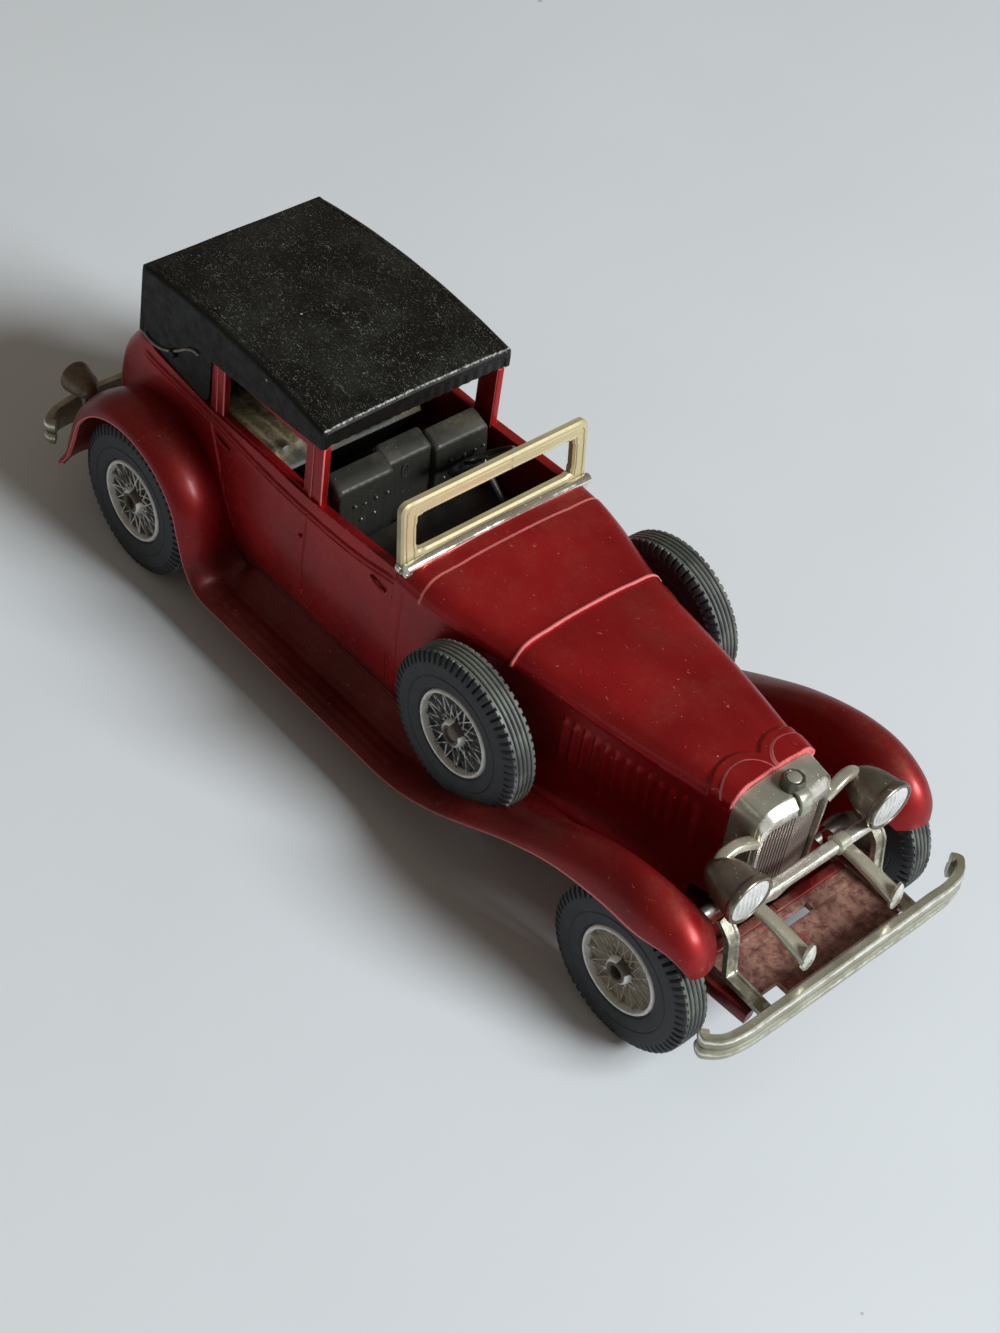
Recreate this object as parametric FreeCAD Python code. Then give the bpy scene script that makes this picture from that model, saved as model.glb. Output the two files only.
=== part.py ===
import FreeCAD, Part
import math
import os

os.makedirs("parts", exist_ok=True)
Vector = FreeCAD.Vector

# A small die-cast toy town car, about 1:43. X forward, Y to the car's left, Z up, floor at zero.

# Wheels and axles
rear_axle_x = -42.0
wheelbase = 90.2
tyre_radius = 10.3
tyre_width = 4.2
tyre_shoulder = 0.45
tread_width = 3.2
wheel_outer_y = 20.2
rim_radius = 5.6
rim_lip = 0.55
rim_set_back = 0.15
rim_dish_depth = 1.1
rim_back_inset = 0.4
hub_radius = 1.7
hub_proud = 0.35
wire_pairs = 14
wire_width = 0.24
wire_proud = 0.22
axle_radius = 0.8
axle_recess = 0.8
press_gap = 0.02
running_gap = 0.08
front_axle_x = rear_axle_x + wheelbase
axle_z = tyre_radius

# Spare wheels
spare_x = front_axle_x - 31.4
spare_z = 18.5
spare_outer_y = 18.1
well_gap = 0.3
well_wall = 0.8
peg_radius = 1.6

# Body shell
far = 100.0
body_base_z = 10.0
wall = 1.3
cowl_rear_x = 0.9
hood_front_x = front_axle_x - 0.7
bulkhead = 1.5
tail_x = rear_axle_x - 13.0
tail_corner = 2.2
waist_z = 17.5
rim_front_z = 29.0
rim_z = 28.0
rear_rim_z = 29.6
rear_rim_x = tail_x + 6.0
fit_gap = 0.1
cabin_half = 12.6
wall_half = 14.6
tail_wall = 1.7
deck_wall = 0.4
deck_under_z = 22.5

# Doors and windows of the closed rear
pillar_front_x = -13.3
pillar_width = 3.3
window_width = 15.6
rear_pillar = 2.5
window_sill_z = 28.0
window_top_z = 35.0
frame_outer_y = 13.6
frame_wall = 1.0

# Panel lines, door handles and bonnet louvres
seam_width = 0.3
seam_depth = 0.25
front_seam_x = cowl_rear_x + 1.5
middle_seam_x = pillar_front_x - 1.6
handle_length = 2.8
handle_height = 0.55
handle_proud = 0.45
front_handle = (cowl_rear_x - 3.9, 25.0)
rear_handle = (pillar_front_x - 19.4, 24.8)
louvre_count = 13
louvre_first_x = hood_front_x - 21.6
louvre_pitch = 1.45
louvre_width = 0.6
louvre_proud = 0.25
louvre_low_z = 18.4
louvre_high_z = 25.0

# Roof
roof_front_x = pillar_front_x + 0.3
roof_rear_x = rear_rim_x + 0.3
roof_edge_z = 39.4
roof_crown = 0.3
roof_arch = 1.9
roof_bulge = 0.45
roof_corner = 0.8
roof_rear_rise = 0.3
quarter_corner = 1.7
roof_seat_z = 38.0
roof_half = 14.3
roof_rear_half = 13.6
skirt_front_z = 36.9
skirt_rear_z = 35.0
roof_back_lean = 1.2
rear_window_width = 9.0
rear_window_z = 33.2
rear_window_height = 3.6

# Wings and running boards
wing_edge_y = 21.2
wing_crown_y = 17.5
wing_sheet = 0.8
board_z = 7.5
board_rear_x = rear_axle_x + 18.5
board_front_x = front_axle_x - 42.2
board_inner_y = 13.9
board_rise = 2.2
board_lip = 0.9
wing_arch_radius = 14.0

# Frame under the body
plate_thick = 1.3
plate_half = 14.2
rail_rear_x = tail_x + 2.0
rail_depth = 3.0
rail_width = 2.0
rail_y = 9.0
lug_length = 5.0
lug_height = 2.3
base_plate_thick = 1.2
apron_front_x = front_axle_x + 13.3
apron_z = 11.0
apron_thick = 1.1
horn_front_x = apron_front_x - 0.6
horn_outer_y = 13.4

# Windscreen
screen_half = 14.1
screen_bar = 2.4
screen_thick = 1.2
screen_base_x = cowl_rear_x + 1.0
screen_low_z = rim_front_z - 0.4
screen_height = 10.0
screen_tilt = 6.5
screen_low_bar = 3.1

# Radiator
radiator_half = 6.3
radiator_front_half = 5.6
radiator_foot_taper = 0.5
radiator_top_z = 29.3
radiator_foot_z = 12.0
radiator_depth = 4.8
radiator_point = 0.9
radiator_border = 0.7
radiator_top_border = 2.6
radiator_mouth_depth = 3.3
grille_bars = 17
grille_bar_width = 0.3
grille_bar_depth = 0.35
cap_radius = 1.15
cap_height = 1.3

# Headlamps
lamp_x = front_axle_x + 8.0
lamp_y = 11.0
lamp_z = 23.9
lamp_radius = 3.1
lamp_length = 6.4
lens_radius = 2.75
lens_depth = 0.5
bracket_x = lamp_x - 5.8
bracket_width = 1.6
bracket_thick = 0.9

# Crossbar under the headlamps, with its two arms
crossbar_x = lamp_x - 1.8
crossbar_z = 19.9
crossbar_radius = 0.8
boss_radius = 1.2
boss_width = 1.9
arm_root_y = 7.0
arm_skew = -1.2
arm_width = 1.8
arm_thick = 1.1
clip_y = 7.0
clip_low_z = 15.8
clip_height = 4.3
clip_width = 1.9
clip_thick = 0.6

# Bumpers
front_tip_x = front_axle_x + 16.0
rear_tip_x = rear_axle_x - 22.2
bumper_thick = 1.3
bumper_height = 4.3
front_bumper_z = 12.4
rear_bumper_z = 8.0
bumper_groove = 0.35
bumper_tip_height = 3.5
bumper_half = wing_edge_y - 0.1
rear_bumper_half = wing_edge_y - 1.1
stay_y = 11.7
stay_width = 1.7
stay_thick = 0.7

# Rear lamps
rear_lamp_x = rear_axle_x - 18.4
rear_lamp_y = 16.0
rear_lamp_z = 16.2
rear_lamp_radius = 2.2
rear_lamp_length = 4.6

# Interior moulding and steering wheel
floor_z = 12.6
floor_thick = 1.0
interior_gap = 0.15
seat_back_z = 30.3
seat_top_z = 21.0
front_seat_x = pillar_front_x + 0.7
rear_seat_x = rear_rim_x + 4.8
seat_depth = 9.0
seat_back_thick = 3.2
seat_gap = 6.4
seat_gap_depth = 0.7
dash_top_z = 28.4
steering_radius = 4.4
steering_rim = 0.45
steering_y = 6.6
steering_x = cowl_rear_x - 7.1
steering_z = 28.2
steering_tilt = 38.0
steering_gap = 0.45


def write(name, shape):
    shape.exportStep("parts/" + name + ".step")


def mirrored(shape):
    return shape.mirror(Vector(0, 0, 0), Vector(0, 1, 0))


def write_pair(name, right_shape):
    write(name + "_right", right_shape)
    write(name + "_left", mirrored(right_shape))


def box(x0, x1, y0, y1, z0, z1):
    return Part.makeBox(x1 - x0, y1 - y0, z1 - z0, Vector(x0, y0, z0))


def rod(radius, start, end):
    axis = end - start
    return Part.makeCylinder(radius, axis.Length, start, axis)


def spline(points, shares=None):
    # A smooth curve through the points; like sections share one spacing, given as shares.
    count = len(points)
    shares = shares or [i / (count - 1) for i in range(count)]
    curve = Part.BSplineCurve()
    curve.interpolate(Points=points, Parameters=shares)
    return curve.toShape()


def prism(points, y0, y1):
    # A flat outline in the side view, carried across the car from one plane to another.
    corners = [Vector(x, y0, z) for x, z in points]
    wire = Part.makePolygon(corners + corners[:1])
    return Part.Face(wire).extrude(Vector(0, y1 - y0, 0))


def side_prism(points, half_width):
    return prism(points, -half_width, half_width)


def offset_points(points, distance):
    # Moves each point of a plane curve to its right-hand side.
    moved = []
    for i, (u, v) in enumerate(points):
        before = points[max(i - 1, 0)]
        after = points[min(i + 1, len(points) - 1)]
        du, dv = after[0] - before[0], after[1] - before[1]
        length = math.hypot(du, dv)
        moved.append((u - distance * dv / length, v + distance * du / length))
    return moved


def strip_outline(path, thick):
    # The outline of a strip of even thickness that follows a path.
    return offset_points(path, thick / 2) + offset_points(path, -thick / 2)[::-1]


def strap(path, thick, mid_y, width):
    # A flat strip bent along a path in the side view.
    return prism(strip_outline(path, thick), mid_y - width / 2, mid_y + width / 2)


def body_section(station, inset):
    # One closed section across the body: flat foot, two curved sides and a domed top.
    x, foot, waist, shoulder, edge, crown = station
    low = body_base_z if inset <= 0 else body_base_z - wall
    side = [(foot - inset, low), (waist - inset, waist_z), (shoulder[0] - inset, shoulder[1] - inset)]
    top = [
        side[-1],
        (edge[0] - inset, edge[1] - inset),
        (0.6 * edge[0], 0.25 * edge[1] + 0.75 * crown - inset),
        (0.0, crown - inset),
    ]
    right = [Vector(x, -y, z) for y, z in side]
    left = [Vector(x, y, z) for y, z in reversed(side)]
    over = [Vector(x, -y, z) for y, z in top] + [Vector(x, y, z) for y, z in reversed(top[:-1])]
    edges = [
        Part.makeLine(left[-1], right[0]), spline(right, (0, 0.45, 1)),
        spline(over, (0, 0.075, 0.245, 0.5, 0.755, 0.925, 1)), spline(left, (0, 0.55, 1)),
    ]
    return Part.Wire(edges)


def hood_stations():
    # Position, foot, waist, shoulder point, top edge point and crown of each section.
    length = hood_front_x - cowl_rear_x
    return [
        (cowl_rear_x, 13.8, 14.4, (14.2, 27.6), (13.2, 29.6), 30.8),
        (cowl_rear_x + 4.3, 13.6, 14.2, (14.1, 27.6), (13.0, 29.6), 30.8),
        (cowl_rear_x + 0.367 * length, 11.3, 11.6, (11.5, 27.2), (10.3, 28.8), 30.0),
        (cowl_rear_x + 0.7 * length, 8.8, 9.1, (9.1, 27.2), (8.0, 28.7), 29.7),
        (hood_front_x, 5.9, 6.3, (6.4, 26.8), (5.4, 28.5), 29.3),
    ]


def tub_stations():
    return [
        (tail_x, 13.0, 13.6, (13.4, 26.4), (13.0, 29.4), 30.0),
        (tail_x + 7.0, 13.7, 14.4, (14.1, 26.8), (13.8, 29.6), 30.2),
        (tail_x + 19.0, 13.8, 14.5, (14.1, 26.8), (13.8, 29.6), 30.2),
        (pillar_front_x - 7.7, 13.9, 14.6, (14.2, 26.6), (13.8, 29.6), 30.2),
        (cowl_rear_x, 13.8, 14.4, (14.2, 27.6), (13.8, 29.6), 30.2),
    ]


def lofted(stations, inset):
    return Part.makeLoft([body_section(station, inset) for station in stations], True, False)


def tub_profile():
    # Side view of the tub: rim along the doors, a rising rear rim and the rounded tail.
    return [
        (cowl_rear_x, body_base_z - wall),
        (cowl_rear_x, rim_front_z),
        (pillar_front_x, rim_z),
        (pillar_front_x - pillar_width - window_width - rear_pillar, rim_z),
        (rear_rim_x, rear_rim_z),
        (rear_rim_x - 1.1, rear_rim_z - 0.35),
        (rear_rim_x - 2.5, rear_rim_z - 1.35),
        (rear_rim_x - 4.0, rear_rim_z - 3.2),
        (rear_rim_x - 5.1, rear_rim_z - 5.3),
        (rear_rim_x - 5.7, rear_rim_z - 7.6),
        (tail_x, 19.5),
        (tail_x + 0.1, 15.0),
        (tail_x + 0.6, body_base_z - wall),
    ]


def tail_plan(grow):
    # Plan of the tub, with its two rear corners rounded.
    half = wall_half + grow
    rear = tail_x - grow
    radius = tail_corner + grow
    share = math.sqrt(0.5)
    corners = []
    for side in (-1, 1):
        centre_x, centre_y = rear + radius, side * (half - radius)
        corners.append([
            Vector(centre_x, centre_y + side * radius, 0),
            Vector(centre_x - share * radius, centre_y + share * side * radius, 0),
            Vector(rear, centre_y, 0),
        ])
    right, left = corners[0], corners[1][::-1]
    front_right, front_left = Vector(cowl_rear_x, -half, 0), Vector(cowl_rear_x, half, 0)
    edges = [
        Part.makeLine(front_left, front_right), Part.makeLine(front_right, right[0]),
        Part.Arc(*right).toShape(), Part.makeLine(right[2], left[0]),
        Part.Arc(*left).toShape(), Part.makeLine(left[2], front_left),
    ]
    return Part.Face(Part.Wire(edges)).extrude(Vector(0, 0, far))


def tub_block(inset):
    return lofted(tub_stations(), inset).common(tail_plan(max(-inset, 0.0)))


def body_envelope(inset):
    # The body without its cavities, grown outwards where the inset is negative.
    return lofted(hood_stations(), inset).fuse(tub_block(inset))


def window_frame():
    # One side of the closed rear: two pillars, a sill and a hidden top rail.
    front = pillar_front_x
    rear = front - pillar_width - window_width - rear_pillar
    panel = box(rear, front, -frame_outer_y, -frame_outer_y + frame_wall, rim_z - 1.0, roof_seat_z)
    window_front = front - pillar_width
    window = box(
        window_front - window_width, window_front, -frame_outer_y - 1, -frame_outer_y + frame_wall + 1,
        window_sill_z, window_top_z,
    )
    notch_low = skirt_front_z - 3 * fit_gap
    notch = box(roof_front_x - wall - fit_gap, front + 1, -20, 0, notch_low, roof_seat_z + 1)
    return panel.cut(window).cut(notch)


def axle_slots():
    # Room for the front lugs, and a notch for the rear axle in each side of the tub.
    low = body_base_z - 2 * wall
    front_reach = lug_length / 2 + fit_gap
    rear_reach = axle_radius + 0.3
    front = box(
        front_axle_x - front_reach, front_axle_x + front_reach, -wall_half, wall_half,
        low, body_base_z + lug_height + fit_gap,
    )
    rear = box(
        rear_axle_x - rear_reach, rear_axle_x + rear_reach, -wall_half, wall_half,
        low, axle_z + rear_reach,
    )
    return front.fuse(rear)


def door_seams():
    # Thin upright grooves in the skin: in front of the front door and between the doors.
    seams = []
    for x in (front_seam_x, middle_seam_x):
        for side in (-1, 1):
            y0, y1 = sorted((side * (cabin_half + wall / 2), side * 16))
            seams.append(box(x - seam_width / 2, x + seam_width / 2, y0, y1, body_base_z + 3.5, rim_z - 1.4))
    return seams[0].fuse(seams[1:]).cut(body_envelope(seam_depth))


def door_handles():
    handles = []
    for x, z in (front_handle, rear_handle):
        for side in (-1, 1):
            y0, y1 = sorted((side * cabin_half, side * (wall_half - 0.2 + handle_proud)))
            handles.append(box(x, x + handle_length, y0, y1, z, z + handle_height))
    return handles


def louvres():
    # Upright ribs on both sides of the bonnet, following its taper.
    ribs = []
    for i in range(louvre_count):
        x = louvre_first_x + i * louvre_pitch
        ribs.append(box(x, x + louvre_width, -20, 20, louvre_low_z, louvre_high_z))
    grown = lofted(hood_stations(), -louvre_proud)
    return ribs[0].fuse(ribs[1:]).common(grown).cut(lofted(hood_stations(), wall / 2))


def body_shell():
    hood = lofted(hood_stations(), 0.0).fuse(louvres())
    hood = hood.cut(
        lofted(hood_stations(), wall).common(
            box(cowl_rear_x + bulkhead, hood_front_x - wall, -20, 20, 0, 50)
        )
    )
    tub = tub_block(0.0).common(side_prism(tub_profile(), 20)).fuse(door_handles())
    boot = box(tail_x + tail_wall, cowl_rear_x, -cabin_half, cabin_half, 0, deck_under_z)
    cabin = box(rear_rim_x + deck_wall, cowl_rear_x, -cabin_half, cabin_half, 0, 50)
    tub = tub.cut(boot).cut(cabin)
    shell = hood.fuse([tub, window_frame(), mirrored(window_frame())])
    return shell.cut([axle_slots(), door_seams()]).removeSplitter()


def wing_outline(inner_y, drop_in, outer_y, drop_out, depth):
    # Across the wing: a flank that falls towards the car and a rounded outer shoulder.
    flank = []
    for share in (1.0, 0.75, 0.5, 0.25, 0.0):
        y = wing_crown_y - share * (wing_crown_y - inner_y)
        flank.append((y, drop_in * share ** 1.8))
    flank = offset_points(flank, depth)[:-1] + [(wing_crown_y, depth)]
    reach = outer_y - depth - wing_crown_y
    shoulder = []
    for degrees in (30, 60, 90):
        turn = math.radians(degrees)
        drop = depth + (drop_out - depth) * (1 - math.cos(turn))
        shoulder.append((wing_crown_y + reach * math.sin(turn), drop))
    return flank + shoulder


def wing_section(station):
    # A thin arched strip across the path of the wing.
    x, z, slope, inner_y, drop_in, outer_y, drop_out = station
    angle = math.radians(slope)

    def place(point):
        y, drop = point
        return Vector(x + drop * math.sin(angle), -y, z - drop * math.cos(angle))

    top = [place(point) for point in wing_outline(inner_y, drop_in, outer_y, drop_out, 0.0)]
    low = [place(point) for point in wing_outline(inner_y, drop_in, outer_y, drop_out, wing_sheet)]
    low.reverse()
    edges = [spline(top), Part.makeLine(top[-1], low[0]), spline(low), Part.makeLine(low[-1], top[0])]
    return Part.Wire(edges)


def board_station(x):
    return (x, board_z, 0, board_inner_y, -board_rise, wing_edge_y, board_lip)


def front_wing_stations():
    # Crown position and slope, inner edge and drop, outer edge and drop.
    foot = body_base_z - 0.3
    stations = [board_station(board_front_x), board_station(board_front_x + 1.5)]
    for ahead, z, slope, inner, drop_in, outer, drop_out in [
        (-36.2, 7.9, 10, 13.6, -1.9, wing_edge_y, board_lip),
        (-30.2, 10.0, 25, 12.4, -0.6, wing_edge_y, 1.0),
        (-24.2, 13.4, 31, 11.3, 2.0, wing_edge_y, 1.2),
        (-18.2, 17.2, 32, 10.8, 6.0, wing_edge_y, 1.7),
        (-12.2, 20.8, 27, 10.6, 20.8 - foot, wing_edge_y, 2.8),
        (-7.2, 23.0, 18, 10.6, 23.0 - foot, wing_edge_y, 3.9),
        (-2.7, 24.2, 8, 10.6, 24.2 - foot, wing_edge_y, 4.6),
        (1.3, 24.3, -6, 10.8, 12.0, wing_edge_y, 4.7),
        (4.8, 23.4, -25, 11.4, 7.5, wing_edge_y - 0.3, 4.2),
        (7.5, 21.6, -48, 12.4, 4.6, wing_edge_y - 0.8, 3.0),
        (8.9, 19.2, -74, 13.4, 2.6, wing_edge_y - 1.4, 1.5),
        (9.1, 17.4, -90, 14.2, 1.4, wing_edge_y - 2.0, 0.8),
    ]:
        stations.append((front_axle_x + ahead, z, slope, inner, drop_in, outer, drop_out))
    return stations


def rear_wing_stations():
    stations = [
        (rear_axle_x - 15.6, 7.0, 62, 14.2, 0.6, wing_edge_y, 1.2),
        (rear_axle_x - 14.4, 9.4, 72, 14.1, 0.6, wing_edge_y, 1.7),
    ]
    for degrees in (172, 150, 120, 90, 60, 32, 10):
        turn = math.radians(degrees)
        x = rear_axle_x + wing_arch_radius * math.cos(turn)
        z = axle_z + wing_arch_radius * math.sin(turn)
        stations.append((x, z, degrees - 90, 13.9, 0.7, wing_edge_y, 2.3))
    stations.append((rear_axle_x + 14.5, 9.8, -68, 13.9, 0.0, wing_edge_y, 1.7))
    stations.append((rear_axle_x + 15.7, 8.0, -34, 13.9, -1.2, wing_edge_y, 1.1))
    stations.append(board_station(board_rear_x - 0.8))
    stations.append(board_station(board_rear_x))
    return stations


def wing_side():
    front = Part.makeLoft([wing_section(s) for s in front_wing_stations()], True, False)
    rear = Part.makeLoft([wing_section(s) for s in rear_wing_stations()], True, False)
    length = board_front_x - board_rear_x
    board = Part.Face(wing_section(board_station(board_rear_x))).extrude(Vector(length, 0, 0))
    return board.fuse([front, rear])


def spare_wheel_cut():
    inner = spare_outer_y - tyre_width - well_gap
    outer = spare_outer_y + well_gap
    start = Vector(spare_x, -inner, spare_z)
    return rod(tyre_radius + well_gap, start, Vector(spare_x, -outer, spare_z))


def spare_well():
    # A shallow pan under the spare tyre, where it sinks into the front wing.
    inner = spare_outer_y - tyre_width - well_gap - well_wall
    outer = spare_outer_y + well_gap + well_wall
    start = Vector(spare_x, -inner, spare_z)
    ring = rod(tyre_radius + well_gap + well_wall, start, Vector(spare_x, -outer, spare_z))
    return ring.common(box(spare_x - 6.0, spare_x + 4.0, -outer, -inner, 0, board_z + 0.8))


def frame_half():
    # Right half of the frame: plate, rail, axle lugs, apron and the splayed horn at the front.
    top = body_base_z
    low = top - plate_thick - rail_depth
    outer = rail_y + rail_width / 2
    inner = rail_y - rail_width / 2
    wide_end = front_axle_x - 40.2
    narrow_start = front_axle_x - 22.2
    nose = front_axle_x + 4.8
    narrow = horn_outer_y - 2.1
    plate = box(tail_x + 1.5, wide_end, -plate_half, 0, top - plate_thick, top)
    parts = [
        box(wide_end, narrow_start, -plate_half + 1.6, 0, top - plate_thick, top),
        box(narrow_start, nose, -narrow, 0, top - plate_thick, top),
        box(rail_rear_x, nose + 3.0, -outer, -inner, low, top - plate_thick),
        box(front_axle_x - 2.2, horn_front_x, -horn_outer_y, -narrow, 8.6, apron_z),
        box(nose - apron_thick, nose, -narrow, 0, top - plate_thick, apron_z),
        box(nose, apron_front_x, -narrow, 0, apron_z - apron_thick, apron_z),
    ]
    for x in (rear_axle_x, front_axle_x):
        parts.append(box(x - lug_length / 2, x + lug_length / 2, -outer, -inner, low, top + lug_height))
    half = plate.fuse(parts)
    half = half.cut(box(nose + 1.0, nose + 2.4, -1.3, 1, 0, far))
    half = half.cut(box(apron_front_x - 1.6, apron_front_x + 1, -9.4, -7.0, 0, far))
    for x in (rear_axle_x, front_axle_x):
        half = half.cut(box(x - 1.6, x + 1.6, -inner, 1, top - 0.8, far))
    return half


def chassis_wings():
    # One casting: four wings, running boards and frame, trimmed to the body that stands on it.
    wing = wing_side().cut(spare_wheel_cut()).fuse(spare_well().cut(spare_wheel_cut()))
    upper = box(-far, far, -far, far, body_base_z, far)
    for block in (lofted(hood_stations(), -fit_gap), tub_block(-fit_gap)):
        wing = wing.cut(block.common(upper))
    half = wing.fuse(frame_half())
    inner = wheel_outer_y - tyre_width - 0.4
    for x in (rear_axle_x, front_axle_x):
        start = Vector(x, -inner + 0.3, axle_z)
        half = half.cut(rod(axle_radius + running_gap, Vector(x, 0, axle_z), Vector(x, -inner, axle_z)))
        half = half.cut(rod(tyre_radius + 0.45, start, Vector(x, -wheel_outer_y - 0.19, axle_z)))
    return half.fuse(mirrored(half)).removeSplitter()


def base_plate():
    half = rail_y - rail_width / 2 - fit_gap
    top = body_base_z - plate_thick
    return box(tail_x + 5.0, front_axle_x - 4.2, -half, half, top - base_plate_thick, top)


def revolved(points, start, axis):
    wire = Part.makePolygon(points + points[:1])
    return Part.Face(wire).revolve(start, axis, 360)


def tyre(x, z, outer_y):
    # Flat tread, chamfered shoulders and slightly bulged sidewalls.
    half = tyre_width / 2
    bore = rim_radius + press_gap
    centre = -(outer_y - half)
    tread = tread_width / 2
    profile = [
        (bore, -half + 0.35), (bore + 1.1, -half), (tyre_radius - 1.4, -half),
        (tyre_radius - tyre_shoulder, -tread - 0.2), (tyre_radius, -tread + 0.25),
        (tyre_radius, tread - 0.25), (tyre_radius - tyre_shoulder, tread + 0.2),
        (tyre_radius - 1.4, half), (bore + 1.1, half), (bore, half - 0.35),
    ]
    points = [Vector(x, centre + y, z + r) for r, y in profile]
    return revolved(points, Vector(x, 0, z), Vector(0, 1, 0))


def wire(lean, dish):
    # One raised wire on the dish of a wheel at the origin, from the hub out and round by lean degrees.
    start = Vector(0, 0, hub_radius - 0.1)
    end_radius = rim_radius - rim_lip + 0.1
    end = Vector(end_radius * math.sin(math.radians(lean)), 0, end_radius * math.cos(math.radians(lean)))
    run = end - start
    depth = wire_proud + 0.3
    high, low = dish + 0.5 + wire_proud, dish + wire_proud
    side = Part.makePolygon([
        Vector(-wire_width / 2, -high, 0), Vector(-wire_width / 2, -low, run.Length),
        Vector(-wire_width / 2, depth - low, run.Length), Vector(-wire_width / 2, depth - high, 0),
        Vector(-wire_width / 2, -high, 0),
    ])
    rib = Part.Face(side).extrude(Vector(wire_width, 0, 0))
    rib.rotate(Vector(0, 0, 0), Vector(0, 1, 0), math.degrees(math.atan2(run.x, run.z)))
    rib.translate(start)
    return rib


def wires(x, z, dish):
    # Zigzag pairs of wires all round, which meet at the ring.
    step = 360 / wire_pairs
    ribs = []
    for index in range(wire_pairs):
        for lean in (-step / 2, step / 2):
            rib = wire(lean, dish)
            rib.rotate(Vector(0, 0, 0), Vector(0, 1, 0), index * step)
            rib.translate(Vector(x, 0, z))
            ribs.append(rib)
    return ribs


def rim(x, z, outer_y, bore):
    # A dished wire wheel: bright outer ring, sunken disc with raised wires, and a hub boss.
    face = outer_y - rim_set_back
    back = outer_y - tyre_width + rim_back_inset
    dish = face - rim_dish_depth
    profile = [
        (bore, face - 0.1 + hub_proud), (hub_radius - 0.3, face - 0.1 + hub_proud), (hub_radius, face - 0.4),
        (hub_radius, dish + 0.5), (rim_radius - rim_lip - 0.7, dish), (rim_radius - rim_lip, dish + 0.2),
        (rim_radius - rim_lip, face), (rim_radius, face), (rim_radius, back),
        (rim_radius - rim_lip, back), (rim_radius - rim_lip, dish - 0.6), (hub_radius + 0.6, dish - 0.4),
        (hub_radius + 0.6, back), (bore, back),
    ]
    points = [Vector(x, -y, z + r) for r, y in profile]
    return revolved(points, Vector(x, 0, z), Vector(0, 1, 0)).fuse(wires(x, z, dish))


def wheelset(name, x):
    bore = axle_radius + press_gap
    write_pair(name + "_tyre", tyre(x, axle_z, wheel_outer_y))
    write_pair(name + "_rim", rim(x, axle_z, wheel_outer_y, bore))
    end = wheel_outer_y - axle_recess
    write(name + "_axle", rod(axle_radius, Vector(x, -end, axle_z), Vector(x, end, axle_z)))


def spare_wheels():
    bore = axle_radius + press_gap
    write_pair("spare_tyre", tyre(spare_x, spare_z, spare_outer_y))
    write_pair("spare_rim", rim(spare_x, spare_z, spare_outer_y, bore))
    start = Vector(spare_x, -cabin_half + wall, spare_z)
    shoulder = Vector(spare_x, -spare_outer_y + tyre_width - rim_back_inset + press_gap, spare_z)
    peg = rod(axle_radius, start, Vector(spare_x, -spare_outer_y + 0.1, spare_z))
    peg = peg.fuse(rod(peg_radius, start, shoulder))
    write_pair("spare_peg", peg.cut(lofted(hood_stations(), -press_gap)))


def roof():
    # Top arched lengthwise, with thin skirts; behind the doors it comes down to the rear rim.
    rear = roof_rear_x - roof_back_lean - 0.2
    rear_low = rear_rim_x - 0.2

    def section(share, drop):
        # Arch and bulge are parabolas with their peak halfway along.
        x = rear + share * (roof_front_x - rear)
        swell = 4 * share * (1 - share)
        half = roof_rear_half + share * (roof_half - roof_rear_half) + roof_bulge * swell
        edge = roof_edge_z + (1 - share) * roof_rear_rise + roof_arch * swell - drop
        low, flat, bend = rim_z - 2, half - roof_corner, roof_corner * (1 - math.sqrt(0.5))
        right = [Vector(x, -half, edge - roof_corner), Vector(x, bend - half, edge - bend),
                 Vector(x, -flat, edge)]
        left = [Vector(x, -point.y, point.z) for point in reversed(right)]
        foot_left, foot_right = Vector(x, half, low), Vector(x, -half, low)
        edges = [
            Part.makeLine(foot_right, right[0]), Part.Arc(*right).toShape(),
            Part.Arc(right[2], Vector(x, 0, edge + roof_crown), left[0]).toShape(),
            Part.Arc(*left).toShape(), Part.makeLine(left[2], foot_left),
            Part.makeLine(foot_left, foot_right),
        ]
        return Part.Wire(edges)

    shares = (0, 0.25, 0.5, 0.75, 1)
    block = Part.makeLoft([section(share, 0) for share in shares], True, False)
    inner = Part.makeLoft([section(share, wall) for share in shares], True, False)
    pillar_rear = pillar_front_x - pillar_width - window_width - rear_pillar - fit_gap
    rim_rise = (rear_rim_z - rim_z) / (pillar_rear - rear_rim_x)
    outline = [
        (roof_front_x, skirt_front_z), (roof_front_x, far), (roof_rear_x, far), (roof_rear_x, roof_edge_z),
        (rear_low, rear_rim_z + fit_gap),
        (pillar_rear - quarter_corner, rim_z + rim_rise * quarter_corner + 2 * fit_gap),
        (pillar_rear - 0.3 * quarter_corner, rim_z + 0.3 * quarter_corner),
        (pillar_rear, rim_z + quarter_corner), (pillar_rear, skirt_rear_z),
    ]
    block = block.common(side_prism(outline, 20))
    side, rear_side = frame_outer_y + 0.1, roof_rear_half - 0.9
    front_part = box(pillar_rear, roof_front_x - wall, -side, side, 0, far)
    rear_part = box(roof_rear_x + wall - 0.4, pillar_rear, -rear_side, rear_side, 0, far)
    window_half = rear_window_width / 2
    window_top = rear_window_z + rear_window_height
    window = box(-far, rear_seat_x, -window_half, window_half, rear_window_z, window_top)
    return block.cut(inner.common(front_part.fuse(rear_part))).cut(window)


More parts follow.
